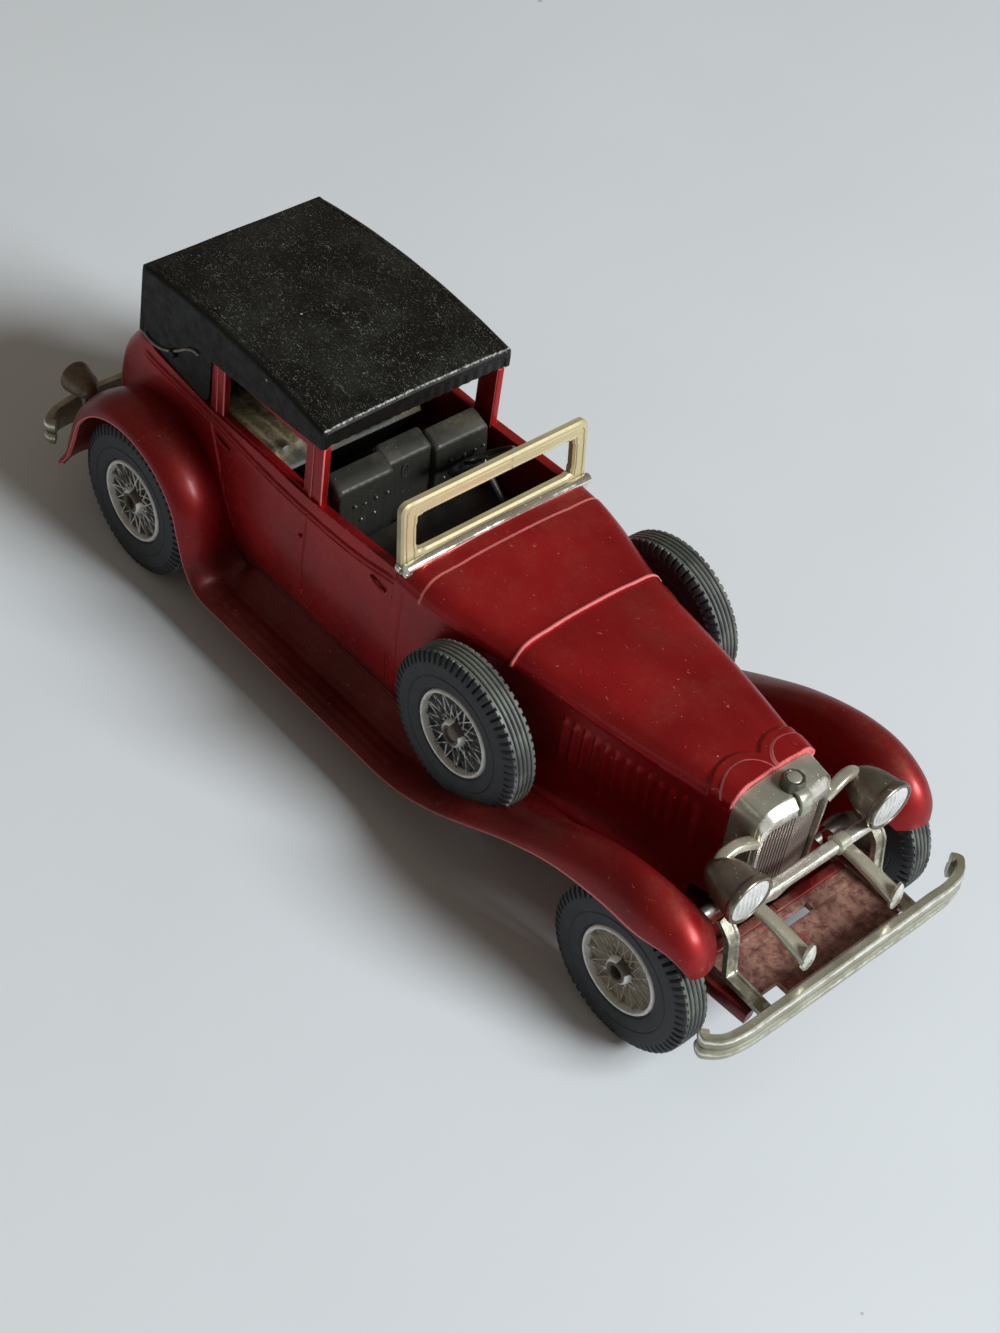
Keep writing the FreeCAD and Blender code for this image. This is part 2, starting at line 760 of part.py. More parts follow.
def seat_back(x, top, half):
    # A padded back: leaning front, sloping top, and a recess between its two places.
    rear = x - seat_back_thick
    back = side_prism([
        (x + 0.4, floor_z), (x + 0.4, seat_top_z + 3.0), (x, top - 0.7), (x - 0.5, top - 0.1),
        (x - 0.45 * seat_back_thick, top), (rear + 0.4, top - 0.8), (rear, top - 1.6), (rear, floor_z),
    ], half)
    return back.cut(box(x - seat_gap_depth, x + 1, -seat_gap / 2, seat_gap / 2, seat_top_z, top + 1))


def interior():
    # One black moulding: floor, dashboard, and a bench seat with its back for each row.
    half = cabin_half - interior_gap
    front = cowl_rear_x - interior_gap
    rear = rear_rim_x + deck_wall + interior_gap
    floor = box(rear, front, -half, half, floor_z, floor_z + floor_thick)
    feet = [box(x - 1.0, x + 1.0, -half, half, body_base_z, floor_z) for x in (-8.0, -30.0)]
    dash = box(front - 1.2, front, -half, half, floor_z, dash_top_z)
    parts = [dash] + feet
    for x, top in ((front_seat_x, seat_back_z), (rear_seat_x, seat_back_z - 1.0)):
        parts.append(box(x, x + seat_depth, -half + 0.5, half - 0.5, floor_z, seat_top_z))
        parts.append(seat_back(x, top, half - 0.9))
    return floor.fuse(parts).removeSplitter()


def steering_wheel():
    centre = Vector(steering_x, steering_y, steering_z)
    tilt = math.radians(steering_tilt)
    axis = Vector(-math.cos(tilt), 0, math.sin(tilt))
    ring = Part.makeTorus(steering_radius, steering_rim, centre, axis)
    hub = rod(0.9, centre - axis * 0.6, centre + axis * 0.5)
    reach = (steering_x - (cowl_rear_x - interior_gap - 1.2)) / axis.x - steering_gap
    column = rod(0.5, centre - axis * 0.5, centre - axis * reach)
    parts = [hub, column]
    across = Vector(0, 1, 0)
    for degrees in (90, 210, 330):
        turn = math.radians(degrees)
        up = axis.cross(across)
        direction = across * math.cos(turn) + up * math.sin(turn)
        parts.append(rod(0.3, centre, centre + direction * steering_radius))
    return ring.fuse(parts)


def windscreen_frame():
    # A flat plated frame with cut corners, leaning back and seated on the curved cowl.
    low = screen_low_z
    top = low + screen_height
    half = screen_half
    cut = 0.9
    corners = [(-half, low), (half, low), (half, top - cut), (half - cut, top),
               (-half + cut, top), (-half, top - cut)]
    wire = Part.makePolygon([Vector(screen_base_x, y, z) for y, z in corners + corners[:1]])
    plate = Part.Face(wire).extrude(Vector(-screen_thick, 0, 0))
    opening = box(
        screen_base_x - 5, screen_base_x + 5, -half + screen_bar, half - screen_bar,
        low + screen_low_bar, top - screen_bar,
    )
    plate = plate.cut(opening)
    plate.rotate(Vector(screen_base_x, 0, low + 0.1 * screen_height), Vector(0, 1, 0), -screen_tilt)
    plate = plate.cut(body_envelope(-fit_gap))
    return max(plate.Solids, key=lambda solid: solid.Volume)


def radiator_outline(x, half, top, low):
    # An arched top over two sides that draw in a little towards the foot.
    foot = half - radiator_foot_taper
    bend = top - 3.0
    right_bend, left_bend = Vector(x, -half, bend), Vector(x, half, bend)
    over = spline([right_bend, Vector(x, -half + 0.5, bend + 1.5), Vector(x, -half + 1.8, top - 0.45),
                   Vector(x, 0, top), Vector(x, half - 1.8, top - 0.45), Vector(x, half - 0.5, bend + 1.5),
                   left_bend])
    foot_left, foot_right = Vector(x, foot, low), Vector(x, -foot, low)
    edges = [over, Part.makeLine(left_bend, foot_left), Part.makeLine(foot_left, foot_right),
             Part.makeLine(foot_right, right_bend)]
    return Part.Wire(edges)


def pointed_block(front_x, depth):
    # A block whose front comes to a shallow vertical point on the centre line.
    half = radiator_half + 1
    slope = radiator_point / radiator_half
    plan = [(front_x - depth, -half), (front_x - slope * half, -half), (front_x, 0),
            (front_x - slope * half, half), (front_x - depth, half)]
    wire = Part.makePolygon([Vector(x, y, 0) for x, y in plan + plan[:1]])
    return Part.Face(wire).extrude(Vector(0, 0, far))


def radiator_mouth(gap):
    # The hollow for the grille; a gap above zero draws it in all round.
    rear = hood_front_x + fit_gap + radiator_depth - radiator_mouth_depth
    half = radiator_front_half - radiator_border - gap
    top = radiator_top_z - radiator_top_border - gap
    wire = radiator_outline(rear, half, top, radiator_foot_z + radiator_border + gap)
    return Part.Face(wire).extrude(Vector(radiator_depth, 0, 0))


def radiator_shell():
    rear = hood_front_x + fit_gap
    front = rear + radiator_depth
    block = Part.makeLoft([
        radiator_outline(rear, radiator_half, radiator_top_z, radiator_foot_z),
        radiator_outline(front, radiator_front_half, radiator_top_z - 0.2, radiator_foot_z),
    ], True, True)
    block = block.common(pointed_block(front, radiator_depth + 5)).cut(radiator_mouth(0.0))
    low = Vector(rear + radiator_depth / 2, 0, radiator_top_z - 1.0)
    return block.fuse(rod(cap_radius, low, low + Vector(0, 0, cap_height + 1.0)))


def radiator_grille():
    # A pointed plate with fine upright bars, set into the shell.
    front = hood_front_x + fit_gap + radiator_depth - 0.5
    block = radiator_mouth(press_gap)
    plate = block.common(pointed_block(front - grille_bar_depth, 9))
    width = 2 * (radiator_front_half - radiator_border - press_gap)
    pitch = width / grille_bars
    bars = []
    for i in range(grille_bars):
        y = -width / 2 + (i + 0.5) * pitch
        bars.append(box(front - 4, front + 1, y - grille_bar_width / 2, y + grille_bar_width / 2, 0, 40))
    comb = bars[0].fuse(bars[1:]).common(block).common(pointed_block(front, 9))
    return plate.fuse(comb)


def headlamp(side_y):
    # Bullet bowl, rolled rim, and a curved bracket to the radiator shell.
    back = lamp_x - lamp_length
    bowl = spline([
        Vector(back, side_y, lamp_z), Vector(back + 0.35, side_y, lamp_z + 1.1),
        Vector(back + 1.6, side_y, lamp_z + 2.1), Vector(back + 3.6, side_y, lamp_z + 2.75),
        Vector(lamp_x - 0.9, side_y, lamp_z + lamp_radius - 0.15),
    ])
    rim_points = [
        Vector(lamp_x - 0.9, side_y, lamp_z + lamp_radius - 0.15),
        Vector(lamp_x - 0.8, side_y, lamp_z + lamp_radius),
        Vector(lamp_x, side_y, lamp_z + lamp_radius),
        Vector(lamp_x, side_y, lamp_z + lens_radius),
        Vector(lamp_x - lens_depth, side_y, lamp_z + lens_radius),
        Vector(lamp_x - lens_depth, side_y, lamp_z), Vector(back, side_y, lamp_z),
    ]
    wire = Part.Wire([bowl] + Part.makePolygon(rim_points).Edges)
    lamp = Part.Face(wire).revolve(Vector(0, side_y, lamp_z), Vector(1, 0, 0), 360)
    return lamp.fuse(lamp_bracket())


def lamp_bracket():
    # An arched strap from the side of the radiator shell into the back of the right-hand bowl.
    inner = -(radiator_front_half + 0.45)
    path = [(inner, lamp_z + 1.0), (inner - 1.2, lamp_z + 1.7), (inner - 2.8, lamp_z + 1.9),
            (-lamp_y + 0.8, lamp_z + 1.1)]
    outline = strip_outline(path, bracket_thick)
    wire = Part.makePolygon([Vector(bracket_x, y, z) for y, z in outline + outline[:1]])
    return Part.Face(wire).extrude(Vector(bracket_width, 0, 0))


def headlamp_lens(side_y):
    radius = lens_radius - press_gap
    rear = lamp_x - lens_depth
    disc = rod(radius, Vector(rear, side_y, lamp_z), Vector(lamp_x, side_y, lamp_z))
    sphere_radius = 8.0
    centre = Vector(lamp_x + 0.35 - sphere_radius, side_y, lamp_z)
    dome = Part.makeSphere(sphere_radius, centre).common(
        rod(radius, Vector(rear, side_y, lamp_z), Vector(lamp_x + 2, side_y, lamp_z))
    )
    return disc.common(dome).fuse(dome)


def crossbar_arm(root_y, tip_y):
    # A flat bar from the crossbar to the back of the bumper, with an upright leaf at its end.
    tip_x = front_tip_x - bumper_thick - fit_gap
    tip_z = clip_low_z + 0.4 * clip_height
    half = arm_width / 2
    low_root, low_tip = crossbar_z - arm_thick / 2, tip_z - arm_thick / 2
    wire = Part.makePolygon([
        Vector(crossbar_x, root_y - half, low_root), Vector(tip_x, tip_y - half, low_tip),
        Vector(tip_x, tip_y + half, low_tip), Vector(crossbar_x, root_y + half, low_root),
        Vector(crossbar_x, root_y - half, low_root),
    ])
    arm = Part.Face(wire).extrude(Vector(0, 0, arm_thick))
    boss = rod(boss_radius, Vector(crossbar_x, root_y - boss_width / 2, crossbar_z),
               Vector(crossbar_x, root_y + boss_width / 2, crossbar_z))
    leaf = [(0, 0), (0.5, 0.3), (0.42, 0.75), (0, 1), (-0.42, 0.75), (-0.5, 0.3), (0, 0)]
    clip_x = tip_x - clip_thick
    corners = [Vector(clip_x, tip_y + u * clip_width, clip_low_z + v * clip_height) for u, v in leaf]
    clip = Part.Face(Part.makePolygon(corners)).extrude(Vector(clip_thick, 0, 0))
    return [arm, boss, clip]


def lamp_crossbar():
    half = stay_y - stay_width / 2 - fit_gap
    bar = rod(crossbar_radius, Vector(crossbar_x, -half, crossbar_z), Vector(crossbar_x, half, crossbar_z))
    parts = []
    for side in (-1, 1):
        parts += crossbar_arm(side * arm_root_y + arm_skew, side * clip_y)
    return bar.fuse(parts)


def bumper(direction, tip_x, mid_z, half_width):
    # A nearly straight double bar with a lengthwise groove and tips that curl back.
    outline = [(0.0, 0.0), (0.02, 0.6), (0.2, 0.8), (0.7, 0.9), (1.6, 0.965), (2.6, 1.0), (3.6, 0.99)]
    outer = [(tip_x - direction * back, share * half_width) for back, share in outline]
    outer = [(x, -y) for x, y in reversed(outer[1:])] + outer
    inner = offset_points(outer, direction * bumper_thick)
    shallow = offset_points(outer, direction * bumper_groove)

    def strip(front, rear, low, high):
        front_edge = spline([Vector(x, y, low) for x, y in front])
        rear_edge = spline([Vector(x, y, low) for x, y in reversed(rear)])
        ends = [Part.makeLine(Vector(*front[-1], low), Vector(*rear[-1], low)),
                Part.makeLine(Vector(*rear[0], low), Vector(*front[0], low))]
        wire = Part.Wire([front_edge, ends[0], rear_edge, ends[1]])
        return Part.Face(wire).extrude(Vector(0, 0, high - low))

    low, high = mid_z - bumper_height / 2, mid_z + bumper_height / 2
    bar = strip(outer, inner, low, high)
    bar = bar.cut(strip(outer, shallow, mid_z - 0.45, mid_z + 0.45))
    tip_top = low + bumper_tip_height
    wide = half_width + 2
    trim = [(-wide, tip_top), (-0.8 * half_width, tip_top), (-0.3 * half_width, high + 0.05),
            (0.3 * half_width, high + 0.05), (0.8 * half_width, tip_top), (wide, tip_top),
            (wide, high + 2), (-wide, high + 2)]
    x0 = tip_x - 10
    wire = Part.makePolygon([Vector(x0, y, z) for y, z in trim + trim[:1]])
    return bar.cut(Part.Face(wire).extrude(Vector(20, 0, 0)))


def front_bumper():
    bar = bumper(1, front_tip_x, front_bumper_z, bumper_half)
    path = [
        (crossbar_x - 0.5, crossbar_z - 0.5), (crossbar_x + 1.3, crossbar_z - 2.2),
        (crossbar_x + 1.7, crossbar_z - 4.6), (crossbar_x + 2.2, front_bumper_z),
        (front_tip_x - bumper_thick + 0.3, front_bumper_z - 0.5),
    ]
    stays = [strap(path, stay_thick, side * stay_y, stay_width) for side in (-1, 1)]
    return bar.fuse(stays)


def rear_bumper():
    bar = bumper(-1, rear_tip_x, rear_bumper_z, rear_bumper_half)
    z = body_base_z - plate_thick - rail_depth / 2
    path = [(rail_rear_x - fit_gap, z), (rear_tip_x + 4.2, z + 0.3),
            (rear_tip_x + bumper_thick - 0.3, z + 0.6)]
    return bar.fuse([strap(path, stay_thick, side * rail_y, stay_width) for side in (-1, 1)])


def rear_lamp():
    # A bullet lamp on a short stalk above the tail of the rear wing.
    side_y = -rear_lamp_y
    front = rear_lamp_x + rear_lamp_length
    bowl = spline([
        Vector(front, side_y, rear_lamp_z), Vector(front - 0.3, side_y, rear_lamp_z + 0.8),
        Vector(front - 1.4, side_y, rear_lamp_z + 1.6),
        Vector(rear_lamp_x + 0.5, side_y, rear_lamp_z + rear_lamp_radius),
    ])
    closing = Part.makePolygon([
        Vector(rear_lamp_x + 0.5, side_y, rear_lamp_z + rear_lamp_radius),
        Vector(rear_lamp_x, side_y, rear_lamp_z + rear_lamp_radius), Vector(rear_lamp_x, side_y, rear_lamp_z),
        Vector(front, side_y, rear_lamp_z),
    ])
    lamp = Part.Face(Part.Wire([bowl] + closing.Edges)).revolve(
        Vector(0, side_y, rear_lamp_z), Vector(1, 0, 0), 360
    )
    top, foot = Vector(rear_lamp_x + 2.4, side_y, rear_lamp_z), Vector(rear_lamp_x + 3.5, side_y, 10.4)
    stalk = rod(0.6, top, foot)
    return lamp.fuse(stalk)


write("body_shell", body_shell())
write("chassis_wings", chassis_wings())
write("base_plate", base_plate())
write("roof", roof())
write("interior", interior())
write("steering_wheel", steering_wheel())
write("windscreen_frame", windscreen_frame())
write("radiator_shell", radiator_shell())
write("radiator_grille", radiator_grille())
write_pair("headlamp", headlamp(-lamp_y))
write_pair("headlamp_lens", headlamp_lens(-lamp_y))
write("lamp_crossbar", lamp_crossbar())
write("front_bumper", front_bumper())
write("rear_bumper", rear_bumper())
write_pair("rear_lamp", rear_lamp())
wheelset("front", front_axle_x)
wheelset("rear", rear_axle_x)
spare_wheels()
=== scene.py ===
import math

import bpy
import numpy as np
from mathutils import Matrix, Vector


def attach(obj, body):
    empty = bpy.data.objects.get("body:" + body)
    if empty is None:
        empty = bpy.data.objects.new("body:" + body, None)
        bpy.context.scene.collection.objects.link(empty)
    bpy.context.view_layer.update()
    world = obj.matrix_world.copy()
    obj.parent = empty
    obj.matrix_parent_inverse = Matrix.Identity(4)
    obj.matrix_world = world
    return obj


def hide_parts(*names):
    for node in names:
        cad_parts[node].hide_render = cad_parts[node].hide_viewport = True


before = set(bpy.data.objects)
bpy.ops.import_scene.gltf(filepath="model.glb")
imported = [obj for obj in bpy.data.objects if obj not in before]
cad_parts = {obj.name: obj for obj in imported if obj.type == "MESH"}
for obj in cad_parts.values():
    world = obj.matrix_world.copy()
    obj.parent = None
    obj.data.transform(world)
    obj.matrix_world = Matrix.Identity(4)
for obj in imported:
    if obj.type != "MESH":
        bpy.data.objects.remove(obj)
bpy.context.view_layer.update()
mm = 0.001


# Number helpers

def smoothStep(low, high, value):
    t = np.clip((np.asarray(value, float) - low) / (high - low), 0.0, 1.0)
    return t * t * (3 - 2 * t)


def ridge(value, centre, width):
    return np.exp(-((np.asarray(value, float) - centre) / width) ** 2)


def knotSpan(knots, at):
    # The knot before each position, the width of its span and the share of the way across.
    at = np.clip(np.asarray(at, float), knots[0], knots[-1])
    i = np.clip(np.searchsorted(knots, at, side="right") - 1, 0, len(knots) - 2)
    width = knots[i + 1] - knots[i]
    return i, width, (at - knots[i]) / width


def hermite(a, b, slopeA, slopeB, width, t):
    # Cubic between two values that have given slopes.
    return (a * (2 * t ** 3 - 3 * t ** 2 + 1) + b * (3 * t ** 2 - 2 * t ** 3)
            + slopeA * width * (t ** 3 - 2 * t ** 2 + t) + slopeB * width * (t ** 3 - t ** 2))


def cubic(knots, values, at):
    # Smooth curve through the values, with tangents from their neighbours; values may be rows.
    knots, values = np.asarray(knots, float), np.asarray(values, float)
    i, width, t = knotSpan(knots, at)
    slopes = np.gradient(values, knots, axis=0)
    if values.ndim > 1:
        t, width = t[:, None], width[:, None]
    return hermite(values[i], values[i + 1], slopes[i], slopes[i + 1], width, t)


def steps(*spans):
    # Positions along a line: each span is start, end and spacing.
    parts = []
    for start, end, spacing in spans:
        count = max(1, int(round(abs(end - start) / spacing)))
        parts.append(np.linspace(start, end, count, endpoint=False))
    parts.append(np.array([spans[-1][1]]))
    return np.concatenate(parts)


def unit(vectors):
    return vectors / np.maximum(np.linalg.norm(vectors, axis=-1, keepdims=True), 1e-12)


def xyz(x, y, z):
    # Points from three coordinates that are spread to one shape.
    return np.stack(np.broadcast_arrays(x, y, z), axis=-1)


def lengthsAlong(points):
    # Distance along a path at each of its points.
    return np.concatenate([[0], np.cumsum(np.linalg.norm(np.diff(points, axis=0), axis=1))])


def gridNormals(points):
    # Unit normals of a grid of points, from its two directions.
    return unit(np.cross(np.gradient(points, axis=0), np.gradient(points, axis=1)))


# Mesh helpers: a part is its points in millimetres, its faces, and a wear value for each point, which marks worn
# edges and, on plating and some black parts, painted highlights

def gridPart(points, wear=0.0, wrapRows=False, wrapColumns=False, caps=False):
    # Quads over a grid; a wrapped direction closes on itself and caps fill the end loops, "strip" for folded ones.
    points = np.asarray(points, float)
    rows, columns = points.shape[:2]
    i = np.arange(rows if wrapRows else rows - 1)[:, None]
    j = np.arange(columns if wrapColumns else columns - 1)[None, :]
    a = i * columns + j
    b = ((i + 1) % rows) * columns + j
    c = ((i + 1) % rows) * columns + (j + 1) % columns
    d = i * columns + (j + 1) % columns
    quads = np.stack([a, b, c, d], axis=-1).reshape(-1, 4)
    flat = points.reshape(-1, 3)
    wearFlat = np.broadcast_to(np.asarray(wear, float), (rows, columns)).reshape(-1)
    faces = [quads]
    if caps:
        for row, turned in ((0, False), (rows - 1, True)):
            loop = row * columns + np.arange(columns)
            if caps == "strip":
                j = np.arange(columns // 2 - 1)
                across = np.stack([loop[j], loop[j + 1], loop[columns - 2 - j], loop[columns - 1 - j]], axis=-1)
                faces.append(across[:, ::-1] if turned else across)
                if columns % 2:
                    tip = loop[columns // 2 - 1:columns // 2 + 2][None, :]
                    faces.append(tip[:, ::-1] if turned else tip)
                continue
            middle = len(flat)
            flat = np.vstack([flat, flat[loop].mean(axis=0)])
            wearFlat = np.append(wearFlat, wearFlat[loop].mean())
            nextLoop = np.roll(loop, -1)
            fan = np.stack([loop, nextLoop, np.full(columns, middle)], axis=-1)
            faces.append(fan[:, ::-1] if turned else fan)
    return {"points": flat, "faces": faces, "wear": wearFlat}


def joined(parts):
    points, wear, faces, offset = [], [], [], 0
    for p in parts:
        points.append(p["points"])
        wear.append(p["wear"])
        faces += [f + offset for f in p["faces"]]
        offset += len(p["points"])
    return {"points": np.vstack(points), "faces": faces, "wear": np.concatenate(wear)}


def insideOut(p):
    return {"points": p["points"], "faces": [f[:, ::-1] for f in p["faces"]], "wear": p["wear"]}


def mirrored(points):
    return points * np.array([1, -1, 1])


def movedPart(p, shift):
    return {"points": p["points"] + np.asarray(shift, float), "faces": p["faces"], "wear": p["wear"]}


def bothSides(p):
    return joined([p, insideOut({"points": mirrored(p["points"]), "faces": p["faces"], "wear": p["wear"]})])


def outward(p):
    # Turns the faces round if they enclose a negative volume.
    volume = 0.0
    for f in p["faces"]:
        for k in range(1, f.shape[1] - 1):
            a, b, c = (p["points"][f[:, n]] for n in (0, k, k + 1))
            volume += np.einsum("ij,ij->i", a, np.cross(b, c)).sum()
    return insideOut(p) if volume < 0 else p


def loopSolid(points, wear=0.0, caps=True):
    # A solid from a row of closed loops, with its ends filled.
    return outward(gridPart(points, wear, wrapColumns=True, caps=caps))


def roundedBox(x0, x1, y0, y1, z0, z1, radius=0.3, count=3):
    # A box with rounded edges, as a closed grid wrapped round the Z axis.
    centre = np.array([(x0 + x1) / 2, (y0 + y1) / 2, (z0 + z1) / 2])
    half = np.array([abs(x1 - x0) / 2, abs(y1 - y0) / 2, abs(z1 - z0) / 2])
    r = min(radius, half.min() * 0.98)
    turn = np.radians(np.concatenate([np.linspace(k * 90.0, k * 90.0 + 90.0, count + 1) for k in range(4)]))
    signX = np.repeat(np.array([1, -1, -1, 1]), count + 1)
    signY = np.repeat(np.array([1, 1, -1, -1]), count + 1)
    tilt = np.radians(np.concatenate([np.linspace(-90, 0, count + 1), np.linspace(0, 90, count + 1)]))
    signZ = np.repeat(np.array([-1, 1]), count + 1)
    core = half - r
    x = signX * core[0] + r * np.cos(tilt)[:, None] * np.cos(turn)[None, :]
    y = signY * core[1] + r * np.cos(tilt)[:, None] * np.sin(turn)[None, :]
    points = xyz(x, y, (signZ * core[2] + r * np.sin(tilt))[:, None]) + centre
    edge = np.abs(np.cos(2 * turn))[None, :] < 0.5
    wear = np.where(edge & (np.abs(np.cos(tilt)) > 0.3)[:, None], 1.0, 0.0)
    return loopSolid(points, wear)


def pathFrames(path, closed=False):
    # Unit tangents along a path of points.
    path = np.asarray(path, float)
    if closed:
        tangent = np.roll(path, -1, axis=0) - np.roll(path, 1, axis=0)
    else:
        tangent = np.gradient(path, axis=0)
    return unit(tangent)


def sweep(path, profile, side, closed=False, wear=0.0, scale=None):
    # A closed profile (side, up) carried along a path; side is the direction of its first axis.
    path = np.asarray(path, float)
    profile = np.asarray(profile, float)
    tangent = pathFrames(path, closed)
    side = np.broadcast_to(np.asarray(side, float), path.shape)
    side = unit(side - tangent * np.einsum("ij,ij->i", side, tangent)[:, None])
    up = np.cross(tangent, side)
    size = np.ones(len(path)) if scale is None else np.asarray(scale, float)
    points = (path[:, None, :] + side[:, None, :] * (profile[None, :, 0:1] * size[:, None, None])
              + up[:, None, :] * (profile[None, :, 1:2] * size[:, None, None]))
    return outward(gridPart(points, wear, wrapRows=closed, wrapColumns=True, caps=not closed))


def circle(radius, count=16, squash=1.0):
    turn = np.linspace(0, 2 * np.pi, count, endpoint=False)
    return np.stack([radius * np.cos(turn), radius * squash * np.sin(turn)], axis=-1)


def roundedRectangle(width, height, radius, count=3):
    radius = min(radius, width / 2 * 0.99, height / 2 * 0.99)
    out = []
    for k, (sx, sy) in enumerate(((1, 1), (-1, 1), (-1, -1), (1, -1))):
        turn = np.radians(np.linspace(90 * k, 90 * k + 90, count + 1))
        out.append(np.stack([sx * (width / 2 - radius) + radius * np.cos(turn),
                             sy * (height / 2 - radius) + radius * np.sin(turn)], axis=-1))
    return np.concatenate(out)


def smoothPath(points, count):
    # A smooth curve through the points, at even steps of its length.
    points = np.asarray(points, float)
    lengths = lengthsAlong(points)
    return cubic(lengths, points, np.linspace(0, lengths[-1], count))


def cornered(points, reach, count=4):
    # A path with its corners rounded off over a short reach.
    points = [np.asarray(p, float) for p in points]
    out = [points[0]]
    for before, here, after in zip(points, points[1:], points[2:]):
        a, b = (here + unit(way) * min(reach, np.linalg.norm(way) * 0.45) for way in (before - here, after - here))
        for t in np.linspace(0, 1, count + 1):
            out.append(a * (1 - t) ** 2 + 2 * here * t * (1 - t) + b * t ** 2)
    out.append(points[-1])
    return np.array(out)


def lathe(profile, centre, axis, count=72, wear=0.0, change=None):
    # A closed profile of (distance along the axis, radius) turned about an axis through the centre.
    profile = np.asarray(profile, float)
    axis = np.asarray(axis, float) / np.linalg.norm(axis)
    helper = np.array([0, 0, 1.0]) if abs(axis[2]) < 0.9 else np.array([1.0, 0, 0])
    u = unit(np.cross(helper, axis))
    v = np.cross(axis, u)
    turn = np.linspace(0, 2 * np.pi, count, endpoint=False)[:, None]
    along, radius = (np.broadcast_to(profile[None, :, k], (count, len(profile))) for k in (0, 1))
    if change is not None:
        along, radius = change(turn, along, radius)
    points = (np.asarray(centre, float) + along[..., None] * axis
              + radius[..., None] * (np.cos(turn)[..., None] * u + np.sin(turn)[..., None] * v))
    return outward(gridPart(points, wear, wrapRows=True, wrapColumns=True))


def rodPart(start, end, radius, count=14, bevel=0.0):
    # A round rod between two points, its ends bevelled if asked.
    start, end = np.asarray(start, float), np.asarray(end, float)
    direction = end - start
    length = np.linalg.norm(direction)
    side = np.cross(direction, [0.3, 0.5, 0.81])
    if bevel > 0:
        at = np.array([0, bevel, length - bevel, length]) / length
        size = np.array([1 - bevel / radius, 1, 1, 1 - bevel / radius])
    else:
        at, size = np.array([0, 1.0]), np.ones(2)
    path = start + at[:, None] * direction
    return sweep(path, circle(radius, count), side, scale=size)


def frameRing(outer, inner, toPoint, thick, bevel):
    # A flat frame between two matching loops, with bevelled edges all round.
    away = unit(outer - inner)
    half = thick / 2
    rows = [
        (outer, half - bevel, 1.0), (outer - away * bevel, half, 1.0), (inner + away * bevel, half, 1.0),
        (inner, half - bevel, 1.0), (inner, -half + bevel, 0.0), (inner + away * bevel, -half, 0.0),
        (outer - away * bevel, -half, 0.0), (outer, -half + bevel, 0.0),
    ]
    grid = np.stack([toPoint(loop, depth) for loop, depth, _ in rows], axis=1)
    return outward(gridPart(grid, [w for _, _, w in rows], wrapRows=True, wrapColumns=True))


def loopAt(corners, shares):
    # Points at given shares round a closed polygon.
    closed = np.array(list(corners) + [corners[0]], float)
    lengths = lengthsAlong(closed)
    return np.stack([np.interp(shares * lengths[-1], lengths, closed[:, k]) for k in range(2)], axis=-1)


def makeObject(name, p, look, nodes, smoothAngle=35.0, body="car"):
    # A mesh with one look, on a body of the frame, in place of the named nodes.
    mesh = bpy.data.meshes.new(name)
    points = p["points"] * mm
    sizes = np.concatenate([np.full(len(f), f.shape[1]) for f in p["faces"]])
    loops = np.concatenate([f.ravel() for f in p["faces"]])
    mesh.vertices.add(len(points))
    mesh.vertices.foreach_set("co", points.ravel())
    mesh.loops.add(len(loops))
    mesh.loops.foreach_set("vertex_index", loops.astype(np.int32))
    mesh.polygons.add(len(sizes))
    mesh.polygons.foreach_set("loop_start", np.concatenate([[0], np.cumsum(sizes)[:-1]]).astype(np.int32))
    mesh.polygons.foreach_set("loop_total", sizes.astype(np.int32))
    mesh.update(calc_edges=True)
    mesh.validate()
    wear = mesh.attributes.new("wear", "FLOAT", "POINT")
    wear.data.foreach_set("value", p["wear"].astype(np.float32))
    mesh.polygons.foreach_set("use_smooth", np.ones(len(mesh.polygons), dtype=bool))
    mesh.set_sharp_from_angle(angle=math.radians(smoothAngle))
    obj = bpy.data.objects.new(name, mesh)
    bpy.context.scene.collection.objects.link(obj)
    mesh.materials.append(looks[look])
    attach(obj, body)
    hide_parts(*nodes)


# Material helpers

def addNode(tree, kind, **settings):
    node = tree.nodes.new(kind)
    for key, value in settings.items():
        setattr(node, key, value)
    return node


def feed(tree, socket, value):
    if isinstance(value, bpy.types.NodeSocket):
        tree.links.new(value, socket)
    elif value is not None:
        socket.default_value = value


def calc(tree, operation, a, b=None, clamp=False):
    node = addNode(tree, "ShaderNodeMath", operation=operation, use_clamp=clamp)
    feed(tree, node.inputs[0], a)
    feed(tree, node.inputs[1], b)
    return node.outputs[0]


def remap(tree, value, low, high, outLow=0.0, outHigh=1.0):
    node = addNode(tree, "ShaderNodeMapRange", interpolation_type="SMOOTHSTEP")
    for socket, item in zip(node.inputs[:5], (value, low, high, outLow, outHigh)):
        feed(tree, socket, item)
    return node.outputs[0]


def stretched(tree, vector, scale, turn=(0, 0, 0)):
    node = addNode(tree, "ShaderNodeMapping")
    feed(tree, node.inputs["Vector"], vector)
    node.inputs["Scale"].default_value = scale
    node.inputs["Rotation"].default_value = [math.radians(v) for v in turn]
    return node.outputs[0]


def noise(tree, vector, scale, detail=2.0, rough=0.5):
    node = addNode(tree, "ShaderNodeTexNoise")
    feed(tree, node.inputs["Vector"], vector)
    feed(tree, node.inputs["Scale"], scale)
    node.inputs["Detail"].default_value = detail
    node.inputs["Roughness"].default_value = rough
    return node.outputs[0]


def mixColor(tree, factor, a, b):
    node = addNode(tree, "ShaderNodeMix", data_type="RGBA", clamp_factor=True)
    feed(tree, node.inputs[0], factor)
    feed(tree, node.inputs[6], a)
    feed(tree, node.inputs[7], b)
    return node.outputs[2]


